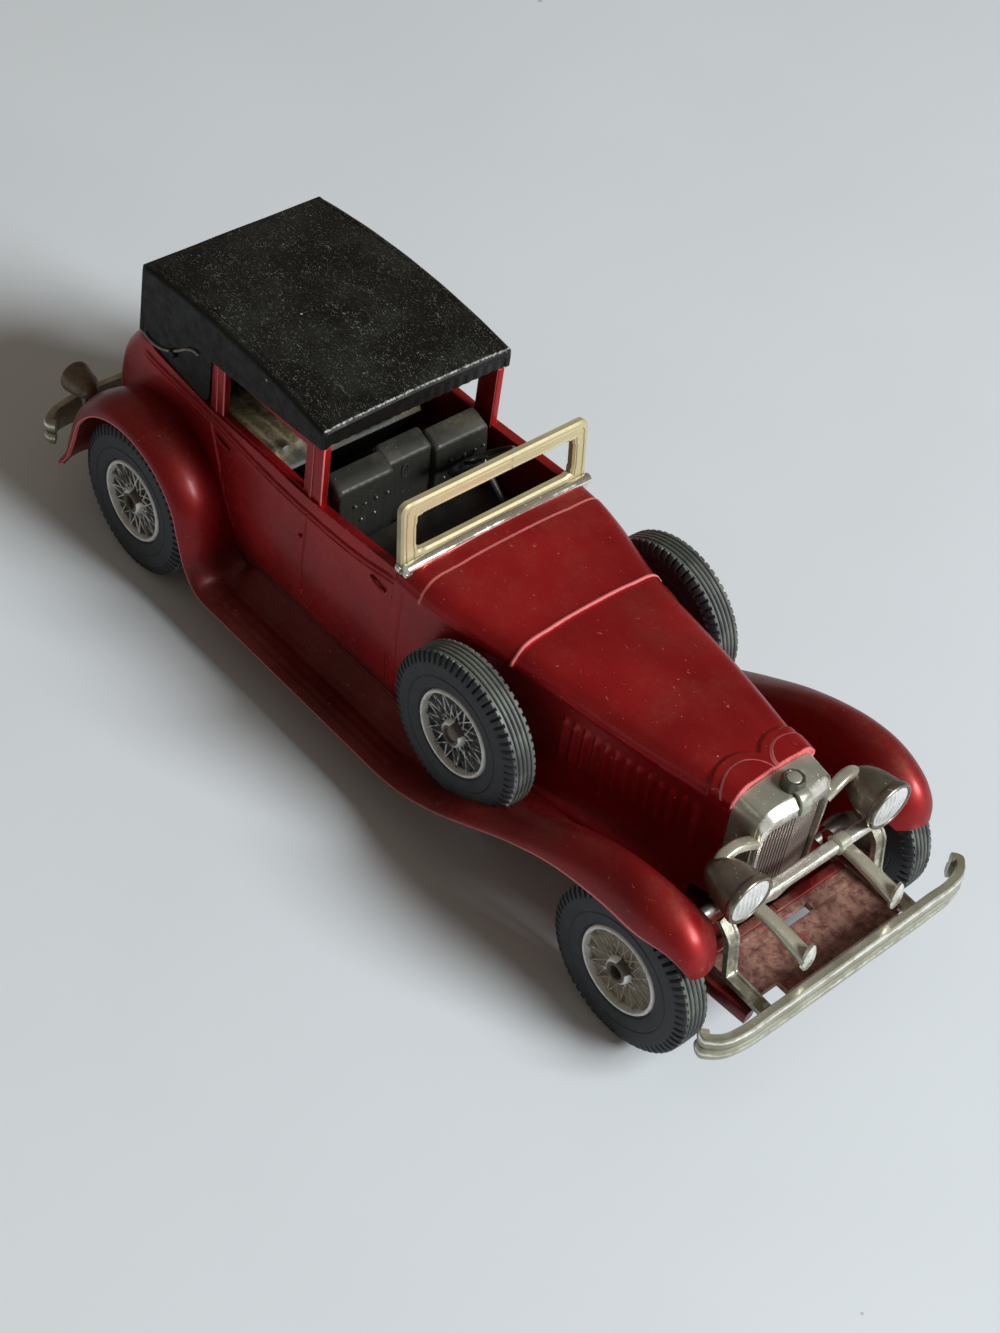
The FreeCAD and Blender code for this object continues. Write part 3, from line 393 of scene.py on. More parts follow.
def mixValue(tree, factor, a, b):
    node = addNode(tree, "ShaderNodeMix", data_type="FLOAT", clamp_factor=True)
    feed(tree, node.inputs[0], factor)
    feed(tree, node.inputs[2], a)
    feed(tree, node.inputs[3], b)
    return node.outputs[0]


def coordinates(tree, vector):
    node = addNode(tree, "ShaderNodeSeparateXYZ")
    feed(tree, node.inputs[0], vector)
    return node.outputs


def upward(tree):
    # How far the surface faces up: the third part of its normal.
    return coordinates(tree, addNode(tree, "ShaderNodeNewGeometry").outputs["Normal"])[2]


def layer(tree, under, mask, share, over):
    # One colour over another where the mask is, at a share of its strength.
    return mixColor(tree, calc(tree, "MULTIPLY", mask, share), under, over)


def newGroup(name, *labels):
    # A group that takes a place and the named values and gives a mask.
    group = bpy.data.node_groups.new(name, "ShaderNodeTree")
    group.interface.new_socket(name="Place", in_out="INPUT", socket_type="NodeSocketVector")
    for label in labels:
        group.interface.new_socket(name=label, in_out="INPUT", socket_type="NodeSocketFloat")
    group.interface.new_socket(name="Mask", in_out="OUTPUT", socket_type="NodeSocketFloat")
    return group, addNode(group, "NodeGroupInput").outputs, addNode(group, "NodeGroupOutput").inputs


def useGroup(tree, group, **values):
    node = addNode(tree, "ShaderNodeGroup", node_tree=groups[group])
    for label, value in values.items():
        feed(tree, node.inputs[label], value)
    return node.outputs[0]


def speckGroup():
    # Specks: cells of a Voronoi pattern, a share of them kept, drawn where the distance is under a size.
    group, entry, leave = newGroup("specks", "Scale", "Share", "Size")
    cells = addNode(group, "ShaderNodeTexVoronoi")
    feed(group, cells.inputs["Vector"], entry["Place"])
    feed(group, cells.inputs["Scale"], entry["Scale"])
    split = addNode(group, "ShaderNodeSeparateColor")
    feed(group, split.inputs[0], cells.outputs["Color"])
    kept = calc(group, "LESS_THAN", split.outputs[0], entry["Share"])
    size = calc(group, "MULTIPLY", entry["Size"], calc(group, "ADD", split.outputs[1], 0.35))
    inside = calc(group, "LESS_THAN", cells.outputs["Distance"], size)
    feed(group, leave["Mask"], calc(group, "MULTIPLY", kept, inside))
    return group


def fibreGroup():
    # Fibres: specks in a space bent by noise and stretched along one direction, so that they turn into threads.
    group, entry, leave = newGroup("fibres", "Share", "Scale")
    sized = addNode(group, "ShaderNodeVectorMath", operation="SCALE")
    feed(group, sized.inputs[0], entry["Place"])
    feed(group, sized.inputs["Scale"], entry["Scale"])
    bend = addNode(group, "ShaderNodeTexNoise")
    feed(group, bend.inputs["Vector"], sized.outputs[0])
    bend.inputs["Scale"].default_value = 0.6
    add = addNode(group, "ShaderNodeVectorMath", operation="MULTIPLY_ADD")
    feed(group, add.inputs[0], bend.outputs["Color"])
    add.inputs[1].default_value = (2.8, 2.8, 2.8)
    feed(group, add.inputs[2], sized.outputs[0])
    masks = []
    for turn, scale in (((0, 0, 35), (0.5, 5.5, 5.5)), ((20, 0, -55), (0.7, 7.0, 7.0))):
        place = stretched(group, add.outputs[0], scale, turn)
        masks.append(useGroup(group, "specks", Place=place, Scale=1.0, Share=entry["Share"], Size=0.26))
    feed(group, leave["Mask"], calc(group, "MAXIMUM", masks[0], masks[1]))
    return group


def dustGroup():
    # Settled dust: how far the surface faces up, times two sizes of noise.
    group, entry, leave = newGroup("settledDust", "Amount")
    up = remap(group, upward(group), 0.35, 1.0)
    wide = remap(group, noise(group, entry["Place"], 0.16, 3.0, 0.6), 0.35, 0.75)
    fine = remap(group, noise(group, entry["Place"], 1.9, 4.0, 0.7), 0.3, 0.75, 0.35, 1.0)
    mask = calc(group, "MULTIPLY", calc(group, "MULTIPLY", up, wide), fine)
    feed(group, leave["Mask"], calc(group, "MULTIPLY", mask, entry["Amount"], clamp=True))
    return group


def scratchGroup():
    # Hairlines: where a strongly stretched noise crosses its middle value, kept in patches.
    group, entry, leave = newGroup("scratches", "Width")
    lines = []
    for turn in ((0, 25, 20), (35, 0, -40)):
        value = noise(group, stretched(group, entry["Place"], (0.25, 4.5, 4.5), turn), 1.0, 1.0)
        away = calc(group, "ABSOLUTE", calc(group, "SUBTRACT", value, 0.5))
        lines.append(calc(group, "LESS_THAN", away, entry["Width"]))
    patches = remap(group, noise(group, entry["Place"], 0.4, 2.0), 0.5, 0.62)
    mask = calc(group, "MULTIPLY", calc(group, "MAXIMUM", lines[0], lines[1]), patches)
    feed(group, leave["Mask"], mask)
    return group


def wearGroup():
    # Rubbed edges and painted highlights: the painted-on wear value, broken up by noise; paint and tyres take it as
    # wear, plating takes it as painted highlight lines.
    group, entry, leave = newGroup("edgeWearAndHighlight", "Wear", "Break", "Scale")
    broken = noise(group, entry["Place"], entry["Scale"], 4.0, 0.7)
    threshold = calc(group, "MULTIPLY", broken, entry["Break"])
    feed(group, leave["Mask"], remap(group, calc(group, "SUBTRACT", entry["Wear"], threshold), 0.15, 0.55))
    return group


groups = {}
for name, build in (("specks", speckGroup), ("fibres", fibreGroup), ("dust", dustGroup), ("scratches", scratchGroup),
                    ("wear", wearGroup)):
    groups[name] = build()


def surface(name):
    # A new material with its shader, its place in millimetres and the wear value of the mesh.
    material = bpy.data.materials.new(name)
    material.use_nodes = True
    tree = material.node_tree
    shader = tree.nodes["Principled BSDF"]
    coords = addNode(tree, "ShaderNodeTexCoord")
    scale = addNode(tree, "ShaderNodeVectorMath", operation="SCALE")
    feed(tree, scale.inputs[0], coords.outputs["Object"])
    scale.inputs["Scale"].default_value = 1000.0
    wear = addNode(tree, "ShaderNodeAttribute", attribute_name="wear")
    return material, tree, shader, scale.outputs[0], wear.outputs["Fac"]


def bumpInto(tree, shader, height, strength, distance=0.00005, coat=False):
    node = addNode(tree, "ShaderNodeBump")
    node.inputs["Strength"].default_value = strength
    node.inputs["Distance"].default_value = distance
    feed(tree, node.inputs["Height"], height)
    feed(tree, shader.inputs["Normal"], node.outputs[0])
    if coat:
        feed(tree, shader.inputs["Coat Normal"], node.outputs[0])


def dustyMask(tree, place, dustAmount, speckShare, speckScale=1.3, speckSize=0.09, fibreShare=0.05, fibreScale=1.0):
    # Settled dust, and apart from it specks and fibres together.
    dust = useGroup(tree, "dust", Place=place, Amount=dustAmount)
    specks = useGroup(tree, "specks", Place=place, Scale=speckScale, Share=speckShare, Size=speckSize)
    fibres = useGroup(tree, "fibres", Place=place, Share=fibreShare, Scale=fibreScale)
    return dust, calc(tree, "MAXIMUM", specks, fibres)


# The grime colour and its from, to, middle and reach values are painted shade low down by the running boards, not dirt.
crimson = {
    "deep": (0.25, 0.004, 0.006, 1), "bright": (0.38, 0.009, 0.011, 1), "worn": (0.74, 0.19, 0.19, 1),
    "dust": (0.17, 0.075, 0.05, 1), "fleck": (0.50, 0.24, 0.20, 1), "grime": (0.035, 0.012, 0.012, 1),
    "metallic": 0.6, "roughness": 0.5, "coat": 0.3, "dustAmount": 0.28, "dulled": 0.6,
    "boardShadeFrom": 9.5, "boardShadeTo": 12.5, "boardShadeMiddle": -4.0, "boardShadeReach": (24.0, 32.0),
}


def crimsonPaint(name="crimsonPaint", paintedShade=1.0, dustAmount=crimson["dustAmount"]):
    # Paint: deep and bright crimson mixed by wide noise and scaled down by the shade factor (painted shade on parts in
    # shadow), darker low down by the boards (painted shade), pink where the wear value beats a noise, with hairlines,
    # thin dust and sparse flecks over it, which dull its shine.
    material, tree, shader, place, wear = surface(name)
    cloud = remap(tree, noise(tree, place, 0.07, 2.0), 0.3, 0.7)
    # The shade factor darkens a whole copy of the paint: painted shade.
    deep, bright = ([v * paintedShade for v in crimson[key][:3]] + [1] for key in ("deep", "bright"))
    color = mixColor(tree, cloud, deep, bright)
    # Painted shade: darker low down near the running boards, along the middle of the car.
    x, _, z = coordinates(tree, place)
    along = calc(tree, "ABSOLUTE", calc(tree, "ADD", x, -crimson["boardShadeMiddle"]))
    low = remap(tree, z, crimson["boardShadeFrom"], crimson["boardShadeTo"], 0.5, 0.0)
    grime = calc(tree, "MULTIPLY", low, remap(tree, along, *crimson["boardShadeReach"], 1.0, 0.0))
    color = mixColor(tree, grime, color, crimson["grime"])
    rubbed = useGroup(tree, "wear", Place=place, Wear=wear, Break=0.6, Scale=1.8)
    color = mixColor(tree, rubbed, color, crimson["worn"])
    dust, flecks = dustyMask(tree, place, dustAmount, 0.02, 0.8, 0.07, 0.015, 1.3)
    hairs = useGroup(tree, "scratches", Place=place, Width=0.002)
    color = layer(tree, color, hairs, 0.15, crimson["fleck"])
    color = mixColor(tree, dust, color, crimson["dust"])
    color = layer(tree, color, flecks, 0.7, crimson["fleck"])
    feed(tree, shader.inputs["Base Color"], color)
    dull = calc(tree, "MAXIMUM", rubbed, calc(tree, "MAXIMUM", dust, flecks))
    feed(tree, shader.inputs["Roughness"], mixValue(tree, dull, crimson["roughness"], crimson["dulled"]))
    feed(tree, shader.inputs["Metallic"], mixValue(tree, dull, crimson["metallic"], 0.0))
    feed(tree, shader.inputs["Coat Weight"], mixValue(tree, dull, crimson["coat"], 0.05))
    feed(tree, shader.inputs["Coat Roughness"], remap(tree, noise(tree, place, 0.5, 3.0), 0.3, 0.8, 0.20, 0.38))
    shader.inputs["Specular IOR Level"].default_value = 0.25
    bumpInto(tree, shader, noise(tree, place, 0.35, 2.0), 0.30, 0.0001, coat=True)
    return material


# The worn colour is the pale edge line: partly rubbed plastic, partly painted highlight.
roofLook = {
    "base": (0.0038, 0.0036, 0.0028, 1), "worn": (0.36, 0.37, 0.34, 1), "lint": (0.20, 0.205, 0.18, 1),
    "haze": (0.020, 0.021, 0.0165, 1), "speck": (0.46, 0.46, 0.40, 1),
}


def roofPlastic():
    # Dull black with a fine pebble: haze by noise, short lint on the top, few pale specks, and a broken silvery line on
    # edges, partly rubbed plastic and partly painted highlight.
    material, tree, shader, place, wear = surface("roofPlastic")
    rubbed = useGroup(tree, "wear", Place=place, Wear=wear, Break=1.5, Scale=2.6)
    haze, lint = dustyMask(tree, place, 1.0, 0.10, 2.6, 0.14, 0.34, 1.5)
    onTop = remap(tree, upward(tree), 0.8, 0.95)
    patch = remap(tree, noise(tree, place, 0.35, 3.0), 0.35, 0.65, 0.4, 1.0)
    specks = useGroup(tree, "specks", Place=place, Scale=0.5, Share=0.12, Size=0.07)
    color = mixColor(tree, haze, roofLook["base"], roofLook["haze"])
    color = layer(tree, color, lint, calc(tree, "MULTIPLY", onTop, patch), roofLook["lint"])
    color = layer(tree, color, specks, 0.8, roofLook["speck"])
    # Pale edge line: partly rubbed plastic, partly painted highlight.
    color = mixColor(tree, rubbed, color, roofLook["worn"])
    feed(tree, shader.inputs["Base Color"], color)
    rough = remap(tree, noise(tree, place, 0.7, 4.0, 0.65), 0.3, 0.7, 0.40, 0.60)
    feed(tree, shader.inputs["Roughness"], rough)
    shader.inputs["Specular IOR Level"].default_value = 0.22
    bumpInto(tree, shader, noise(tree, place, 3.2, 4.0, 0.6), 0.5, 0.00008)
    return material


moulding = {
    "base": (0.024, 0.0245, 0.021, 1), "worn": (0.10, 0.10, 0.085, 1), "fleck": (0.30, 0.28, 0.22, 1),
    "dust": (0.085, 0.072, 0.045, 1), "dustAmount": 0.95,
}


def blackPlastic(name="interiorPlastic", dustAmount=moulding["dustAmount"], dustColor=moulding["dust"]):
    # Black moulding: brown dust by the settled mask, pale where the wear value is high (rubbed edges, and a painted
    # highlight along the seat backs' top front edge), pale flecks.
    material, tree, shader, place, wear = surface(name)
    dust, flecks = dustyMask(tree, place, dustAmount, 0.05, 1.0, 0.06, 0.03)
    color = mixColor(tree, dust, moulding["base"], dustColor)
    # Pale where the wear value is high: rubbed edges, and a painted highlight on the seat backs' top front edge.
    color = layer(tree, color, wear, 0.5, moulding["worn"])
    color = layer(tree, color, flecks, 0.4, moulding["fleck"])
    feed(tree, shader.inputs["Base Color"], color)
    feed(tree, shader.inputs["Roughness"], mixValue(tree, calc(tree, "MAXIMUM", dust, flecks), 0.38, 0.8))
    bumpInto(tree, shader, noise(tree, place, 1.4, 4.0, 0.6), 0.30, 0.00008)
    return material


chrome = {
    "bright": (0.56, 0.54, 0.43, 1), "dull": (0.36, 0.34, 0.25, 1), "grime": (0.10, 0.08, 0.05, 1),
    "paintedHighlight": (0.93, 0.92, 0.85, 1), "dust": (0.24, 0.21, 0.15, 1), "fleck": (0.6, 0.57, 0.5, 1),
}


def platedMetal(name, bright, dull, grime, low=0.20, high=0.38, grimeShare=0.64, metallic=0.6, highlightColor=None):
    # Aged plating: bright and dull metal by soft noise, painted highlights as broken bright lines where the wear value
    # beats a noise, grime in small patches.
    highlightColor = highlightColor or bright
    material, tree, shader, place, wear = surface(name)
    patch = remap(tree, noise(tree, place, 0.20, 3.0, 0.55), 0.36, 0.66)
    color = mixColor(tree, patch, bright, dull)
    # Painted highlight: broken bright lines where the wear value beats a noise.
    paintedHighlight = useGroup(tree, "wear", Place=place, Wear=wear, Break=0.95, Scale=0.8)
    color = layer(tree, color, paintedHighlight, 0.9, highlightColor)
    spots = remap(tree, noise(tree, place, 0.9, 5.0, 0.7), grimeShare, grimeShare + 0.14)
    color = layer(tree, color, spots, 0.6, grime)
    dust, flecks = dustyMask(tree, place, 0.15, 0.02)
    color = mixColor(tree, dust, color, chrome["dust"])
    color = layer(tree, color, flecks, 0.4, chrome["fleck"])
    feed(tree, shader.inputs["Base Color"], color)
    dull = calc(tree, "MAXIMUM", calc(tree, "MULTIPLY", spots, 0.8), calc(tree, "MAXIMUM", dust, flecks))
    shine = mixValue(tree, wear, metallic, min(metallic + 0.25, 0.95))
    feed(tree, shader.inputs["Metallic"], mixValue(tree, dull, shine, 0.2))
    feed(tree, shader.inputs["Roughness"], mixValue(tree, dull, remap(tree, patch, 0.0, 1.0, low, high), 0.6))
    bumpInto(tree, shader, noise(tree, place, 0.8, 3.0), 0.25, 0.00008)
    return material


rubber = {
    "base": (0.014, 0.017, 0.022, 1), "rubbed": (0.115, 0.128, 0.108, 1), "dust": (0.06, 0.064, 0.06, 1),
    "speck": (0.3, 0.3, 0.26, 1),
}


def tyreRubber():
    # Dark blue-grey rubber, greenish grey where the wear value beats a noise, with noise dust and specks.
    material, tree, shader, place, wear = surface("tyreRubber")
    rubbed = useGroup(tree, "wear", Place=place, Wear=wear, Break=0.75, Scale=1.6)
    rubbed = calc(tree, "MULTIPLY", rubbed, remap(tree, noise(tree, place, 0.3, 3.0), 0.35, 0.65, 0.35, 1.0))
    color = mixColor(tree, rubbed, rubber["base"], rubber["rubbed"])
    haze = remap(tree, noise(tree, place, 0.5, 5.0, 0.7), 0.45, 0.75)
    color = layer(tree, color, haze, 0.3, rubber["dust"])
    specks = useGroup(tree, "specks", Place=place, Scale=1.6, Share=0.05, Size=0.1)
    color = layer(tree, color, specks, 0.35, rubber["speck"])
    feed(tree, shader.inputs["Base Color"], color)
    feed(tree, shader.inputs["Roughness"], mixValue(tree, rubbed, 0.6, 0.46))
    bumpInto(tree, shader, noise(tree, place, 2.6, 4.0, 0.6), 0.4, 0.00005)
    return material


def wireLook(name, dark, bright, share):
    # Silvered wires and hubs: dark moulding with silver left where the wear value beats a noise.
    material, tree, shader, place, wear = surface(name)
    left = useGroup(tree, "wear", Place=place, Wear=wear, Break=share, Scale=0.55)
    feed(tree, shader.inputs["Base Color"], mixColor(tree, left, dark, bright))
    feed(tree, shader.inputs["Metallic"], mixValue(tree, left, 0.1, 0.5))
    shader.inputs["Roughness"].default_value = 0.4
    bumpInto(tree, shader, noise(tree, place, 2.4, 3.0), 0.3, 0.00005)
    return material


def plain(name, color, roughness, metallic=0.0, dirt=(0.05, 0.04, 0.03, 1), dirtAmount=0.35):
    # One colour with dirt where a noise is high, which also roughens it, and a fine bump.
    material, tree, shader, place, _ = surface(name)
    patch = remap(tree, noise(tree, place, 0.9, 5.0, 0.65), 0.42, 0.7)
    feed(tree, shader.inputs["Base Color"], layer(tree, color, patch, dirtAmount, dirt))
    feed(tree, shader.inputs["Roughness"], mixValue(tree, patch, roughness, min(roughness + 0.3, 0.9)))
    shader.inputs["Metallic"].default_value = metallic
    bumpInto(tree, shader, noise(tree, place, 1.8, 3.0), 0.3, 0.00006)
    return material


apronLook = {
    "dust": (0.29, 0.15, 0.105, 1), "deep": (0.12, 0.035, 0.03, 1), "red": (0.25, 0.02, 0.025, 1),
    "speck": (0.45, 0.27, 0.2, 1),
}


def apronPaint():
    # Crimson under a thick brown crust: one noise chooses crust or deep pits, another bare red, then specks.
    material, tree, shader, place, _ = surface("apronPaint")
    crust = noise(tree, place, 0.9, 6.0, 0.7)
    color = mixColor(tree, remap(tree, crust, 0.35, 0.62), apronLook["deep"], apronLook["dust"])
    bare = remap(tree, noise(tree, place, 0.25, 3.0), 0.56, 0.68)
    color = layer(tree, color, bare, 0.7, apronLook["red"])
    specks = useGroup(tree, "specks", Place=place, Scale=1.5, Share=0.25, Size=0.16)
    color = layer(tree, color, specks, 0.5, apronLook["speck"])
    feed(tree, shader.inputs["Base Color"], color)
    shader.inputs["Roughness"].default_value = 0.75
    bumpInto(tree, shader, crust, 0.9, 0.00025)
    return material


silver, blackDish = (0.82, 0.82, 0.79, 1), (0.006, 0.006, 0.007, 1)
# The rear dish is a darker copy of the olive dish: painted shade on the rear wheels.
oliveDish, shadedRearDish = (0.30, 0.26, 0.19, 1), (0.07, 0.062, 0.048, 1)
looks = {
    "paint": crimsonPaint(),
    # A darker copy of the paint for the wings: painted shade, with more dust.
    "wingPaintShaded": crimsonPaint("wingPaintShaded", 0.7, 0.5),
    # A much darker copy of the paint for the frame under the body: painted shade, with thick dust.
    "framePaintShaded": crimsonPaint("framePaintShaded", 0.45, 1.2),
    "roof": roofPlastic(),
    "interior": blackPlastic(),
    "bench": blackPlastic("dustyCushion", 1.6, (0.30, 0.24, 0.13, 1)),
    # Studs a little paler than the moulding: partly a painted highlight.
    "stud": plain("seatStud", (0.05, 0.052, 0.047, 1), 0.2, 0.0, (0.02, 0.02, 0.018, 1), 0.2),
    "steering": plain("steeringRim", (0.030, 0.031, 0.029, 1), 0.25, 0.0, (0.02, 0.02, 0.018, 1), 0.5),
    "chrome": platedMetal("chromePlating", chrome["bright"], chrome["dull"], chrome["grime"],
                          highlightColor=chrome["paintedHighlight"]),
    "shell": platedMetal("shellPlating", (0.50, 0.50, 0.42, 1), (0.33, 0.335, 0.27, 1), chrome["grime"], 0.25, 0.4,
                         highlightColor=chrome["paintedHighlight"]),
    "bumper": platedMetal("bumperPlating", (0.42, 0.41, 0.32, 1), (0.26, 0.25, 0.18, 1), chrome["grime"], 0.25, 0.4,
                          highlightColor=chrome["paintedHighlight"]),
    "bowl": platedMetal("bowlPlating", (0.25, 0.22, 0.18, 1), (0.13, 0.11, 0.085, 1),
                        (0.05, 0.04, 0.03, 1), 0.25, 0.4, 0.6, 0.75),
    "screen": platedMetal("screenPlating", (0.50, 0.44, 0.26, 1), (0.38, 0.345, 0.20, 1),
                          (0.20, 0.17, 0.09, 1), 0.4, 0.5, 0.68, 0.12),
    # Rail plating near white: partly its own plating, partly a painted highlight.
    "rail": platedMetal("railPlating", (0.80, 0.78, 0.70, 1), (0.50, 0.48, 0.40, 1),
                        (0.08, 0.06, 0.04, 1), 0.10, 0.3, 0.62, 0.8),
    "grille": platedMetal("grillePlating", (0.30, 0.25, 0.225, 1), (0.22, 0.175, 0.155, 1),
                          (0.10, 0.07, 0.06, 1), 0.35, 0.5, 0.62, 0.35),
    "tyre": tyreRubber(),
    "rimRing": plain("rimRing", silver, 0.42, 0.2, (0.16, 0.15, 0.13, 1), 0.25),
    "rimDish": plain("rimDish", oliveDish, 0.42, 0.35, (0.09, 0.075, 0.05, 1), 0.6),
    "rimWire": wireLook("rimWire", oliveDish, silver, 1.75),
    "shadedRearDish": plain("shadedRearDish", shadedRearDish, 0.42, 0.2, (0.05, 0.042, 0.03, 1), 0.5),
    "shadedRearWire": wireLook("shadedRearWire", shadedRearDish, silver, 1.25),
    "spareDish": plain("spareDish", blackDish, 0.35, 0.0, (0.03, 0.03, 0.03, 1), 0.4),
    "spareWire": wireLook("spareWire", blackDish, silver, 1.35),
    "hub": wireLook("hubFace", (0.085, 0.065, 0.05, 1), silver, 0.9),
    "bronze": plain("pegBronze", (0.16, 0.12, 0.085, 1), 0.4, 0.7),
    "steel": plain("axleSteel", (0.45, 0.43, 0.40, 1), 0.35, 0.9),
    "iron": plain("landauIron", (0.30, 0.27, 0.24, 1), 0.5, 0.3),
    "lens": plain("lensPlating", (0.60, 0.61, 0.60, 1), 0.25, 0.2, (0.25, 0.25, 0.24, 1), 0.5),
    "capRing": plain("capRing", (0.10, 0.095, 0.075, 1), 0.4, 0.6),
    "apron": apronPaint(),
    "enamel": plain("baseEnamel", (0.02, 0.018, 0.018, 1), 0.5),
}
print("materials ready")


# Body: bonnet, scuttle and tub

hood = {
    "x": (0.9, 5.2, 18.0, 33.5, 47.5), "foot": (13.8, 13.6, 11.3, 8.8, 5.9), "waist": (14.4, 14.2, 11.6, 9.1, 6.3),
    "shoulderY": (14.2, 14.1, 11.5, 9.1, 6.4), "shoulderZ": (27.6, 27.6, 27.2, 27.2, 26.8),
    "edgeY": (13.2, 13.0, 10.3, 8.0, 5.4), "edgeZ": (29.6, 29.6, 28.8, 28.7, 28.5),
    "crown": (30.8, 30.8, 30.0, 29.7, 29.3), "footZ": 10.0, "waistZ": 17.5,
    "seamX": 18.2, "cowlX": 5.2, "noseX": 47.45, "hingeX": 2.4, "lobeX": 47.9, "lobeY": 3.5, "lobeRadius": 3.3,
    "stepRadius": 4.6, "louvreFirst": 25.9, "louvrePitch": 1.45, "louvreCount": 13, "louvreLow": 18.4,
    "louvreHigh": 25.0, "louvreHeight": 0.24, "beadGap": 0.75,
}


def hoodSections(x):
    # Right foot to left foot, over the top, for each x: rows of (x, y, z).
    at = {key: cubic(hood["x"], hood[key], x) for key in
          ("foot", "waist", "shoulderY", "shoulderZ", "edgeY", "edgeZ", "crown")}
    footZ = np.full_like(x, hood["footZ"]) + 2.6 * smoothStep(44.5, 45.2, x)
    waistZ = np.full_like(x, hood["waistZ"])
    side = [(at["foot"], footZ), (at["waist"], waistZ), (at["shoulderY"], at["shoulderZ"])]
    half = [(at["shoulderY"], at["shoulderZ"]), (at["edgeY"], at["edgeZ"]),
            (0.6 * at["edgeY"], 0.25 * at["edgeZ"] + 0.75 * at["crown"]), (0 * x, at["crown"])]
    side, half = (np.array(rows).transpose(0, 2, 1) for rows in (side, half))
    other = half[::-1][1:] * np.array([-1, 1])
    over = np.concatenate([half, other])
    u = np.linspace(0, 1, 44)
    sideCurve = cubic((0, 0.45, 1), side.reshape(3, -1), u).reshape(len(u), len(x), 2)
    w = np.concatenate([np.linspace(0, 0.12, 12, endpoint=False), np.linspace(0.12, 0.88, 92, endpoint=False),
                        np.linspace(0.88, 1, 13)])
    topCurve = cubic((0, 0.075, 0.245, 0.5, 0.755, 0.925, 1), over.reshape(7, -1), w).reshape(len(w), len(x), 2)
    right = sideCurve[:-1]
    left = sideCurve[::-1][1:] * np.array([-1, 1])
    loop = np.concatenate([right, topCurve, left]).transpose(1, 0, 2)
    return xyz(x[:, None], -loop[..., 0], loop[..., 1])


def hoodPart():
    # Bonnet and scuttle: smooth sections lifted along their normals for seams, beads, lobes and louvres.
    x = steps((0.9, 1.8, 0.3), (1.8, 3.0, 0.09), (3.0, 4.4, 0.45), (4.4, 6.0, 0.1), (6.0, 17.5, 0.7),
              (17.5, 19.0, 0.08), (19.0, 25.6, 0.6), (25.6, 43.0, 0.15), (43.0, 47.5, 0.12))
    points = hoodSections(x)
    normal = gridNormals(points)
    if normal[len(x) // 2, points.shape[1] // 2, 2] < 0:
        normal = -normal
    px, py, pz = points[..., 0], points[..., 1], points[..., 2]
    sideShare = smoothStep(26.6, 26.2, pz)
    lift = 0.20 * ridge(px, hood["seamX"], 0.30) * smoothStep(26.4, 27.0, pz)
    lift += 0.10 * smoothStep(hood["cowlX"] - 0.2, hood["cowlX"] + 0.2, px) * smoothStep(27.4, 28.2, pz)
    bead = cubic((0.9, 6.9, 18.4, 25, 39, 47.5), (28.6, 28.5, 27.5, 27.8, 27.9, 28.0), x)[:, None]
    lift += 0.12 * ridge(pz, bead, 0.22) + 0.10 * ridge(pz, bead - hood["beadGap"], 0.18)
    lift -= 0.16 * ridge(px, hood["hingeX"], 0.13) * sideShare
    centre = np.hypot(px - hood["lobeX"], np.abs(py) - hood["lobeY"])
    top = smoothStep(27.0, 27.6, pz)
    lift += 0.34 * smoothStep(hood["stepRadius"] + 0.22, hood["stepRadius"] - 0.22, centre) * top
    lift += 0.26 * smoothStep(hood["lobeRadius"] + 0.14, hood["lobeRadius"] - 0.14, centre) * top
    share = (px - hood["louvreFirst"]) / hood["louvrePitch"]
    inRow = (share > 0) & (share < hood["louvreCount"])
    t = np.mod(share, 1.0)
    wave = np.where(inRow, smoothStep(0.0, 0.18, t) * smoothStep(0.85, 0.2, t), 0.0)
    low, high = hood["louvreLow"], hood["louvreHigh"]
    window = smoothStep(low, low + 0.7, pz) * smoothStep(high + 0.1, high - 0.5, pz)
    lift += hood["louvreHeight"] * wave * window
    wear = np.maximum.reduce([
        1.25 * ridge(px, hood["seamX"], 0.26) * smoothStep(26.6, 27.3, pz),
        1.1 * ridge(px, hood["cowlX"], 0.26) * smoothStep(26.8, 27.6, pz),
        1.2 * ridge(centre, hood["lobeRadius"], 0.2) * top,
        0.85 * ridge(px, hood["noseX"], 0.13) * smoothStep(26.4, 27.2, pz),
        0.26 * ridge(np.abs(py), 0.0, 0.14) * smoothStep(18.8, 19.4, px) * smoothStep(43, 41, px) * top,
        0.52 * ridge(pz, bead, 0.20),
        0.45 * ridge(pz, bead - hood["beadGap"], 0.16),
        0.62 * wave * ridge(pz, high - 0.7, 0.8) * smoothStep(46.0, 30.0, px),
    ])
    points = points + normal * lift[..., None]
    return loopSolid(points, wear)


tub = {
    "x": (-55.0, -48.0, -36.0, -21.0, 0.9), "foot": (13.0, 13.7, 13.8, 13.9, 13.8),
    "waist": (13.6, 14.4, 14.5, 14.6, 14.4), "shoulder": (13.4, 14.1, 14.1, 14.2, 14.2),
    "edge": (13.0, 13.8, 13.8, 13.8, 13.8),
    "tail": ((-54.4, 10.0), (-54.8, 13.5), (-55.0, 19.5), (-54.7, 22.0), (-54.1, 24.3), (-53.0, 26.4), (-51.5, 28.25),
             (-50.1, 29.25), (-49.0, 29.6)),
    "levels": (10.0, 13.5, 17.5, 22.0, 26.8, 29.6), "corner": 3.0, "cornerFrom": -44.0, "wall": 1.25, "innerLow": 21.0,
    "footZ": hood["footZ"], "seamB": -14.9, "seamC": ((-33.7, 26.0), (-28.5, 13.6)), "grooveDepth": 0.22,
    "beadGap": 0.75,
}


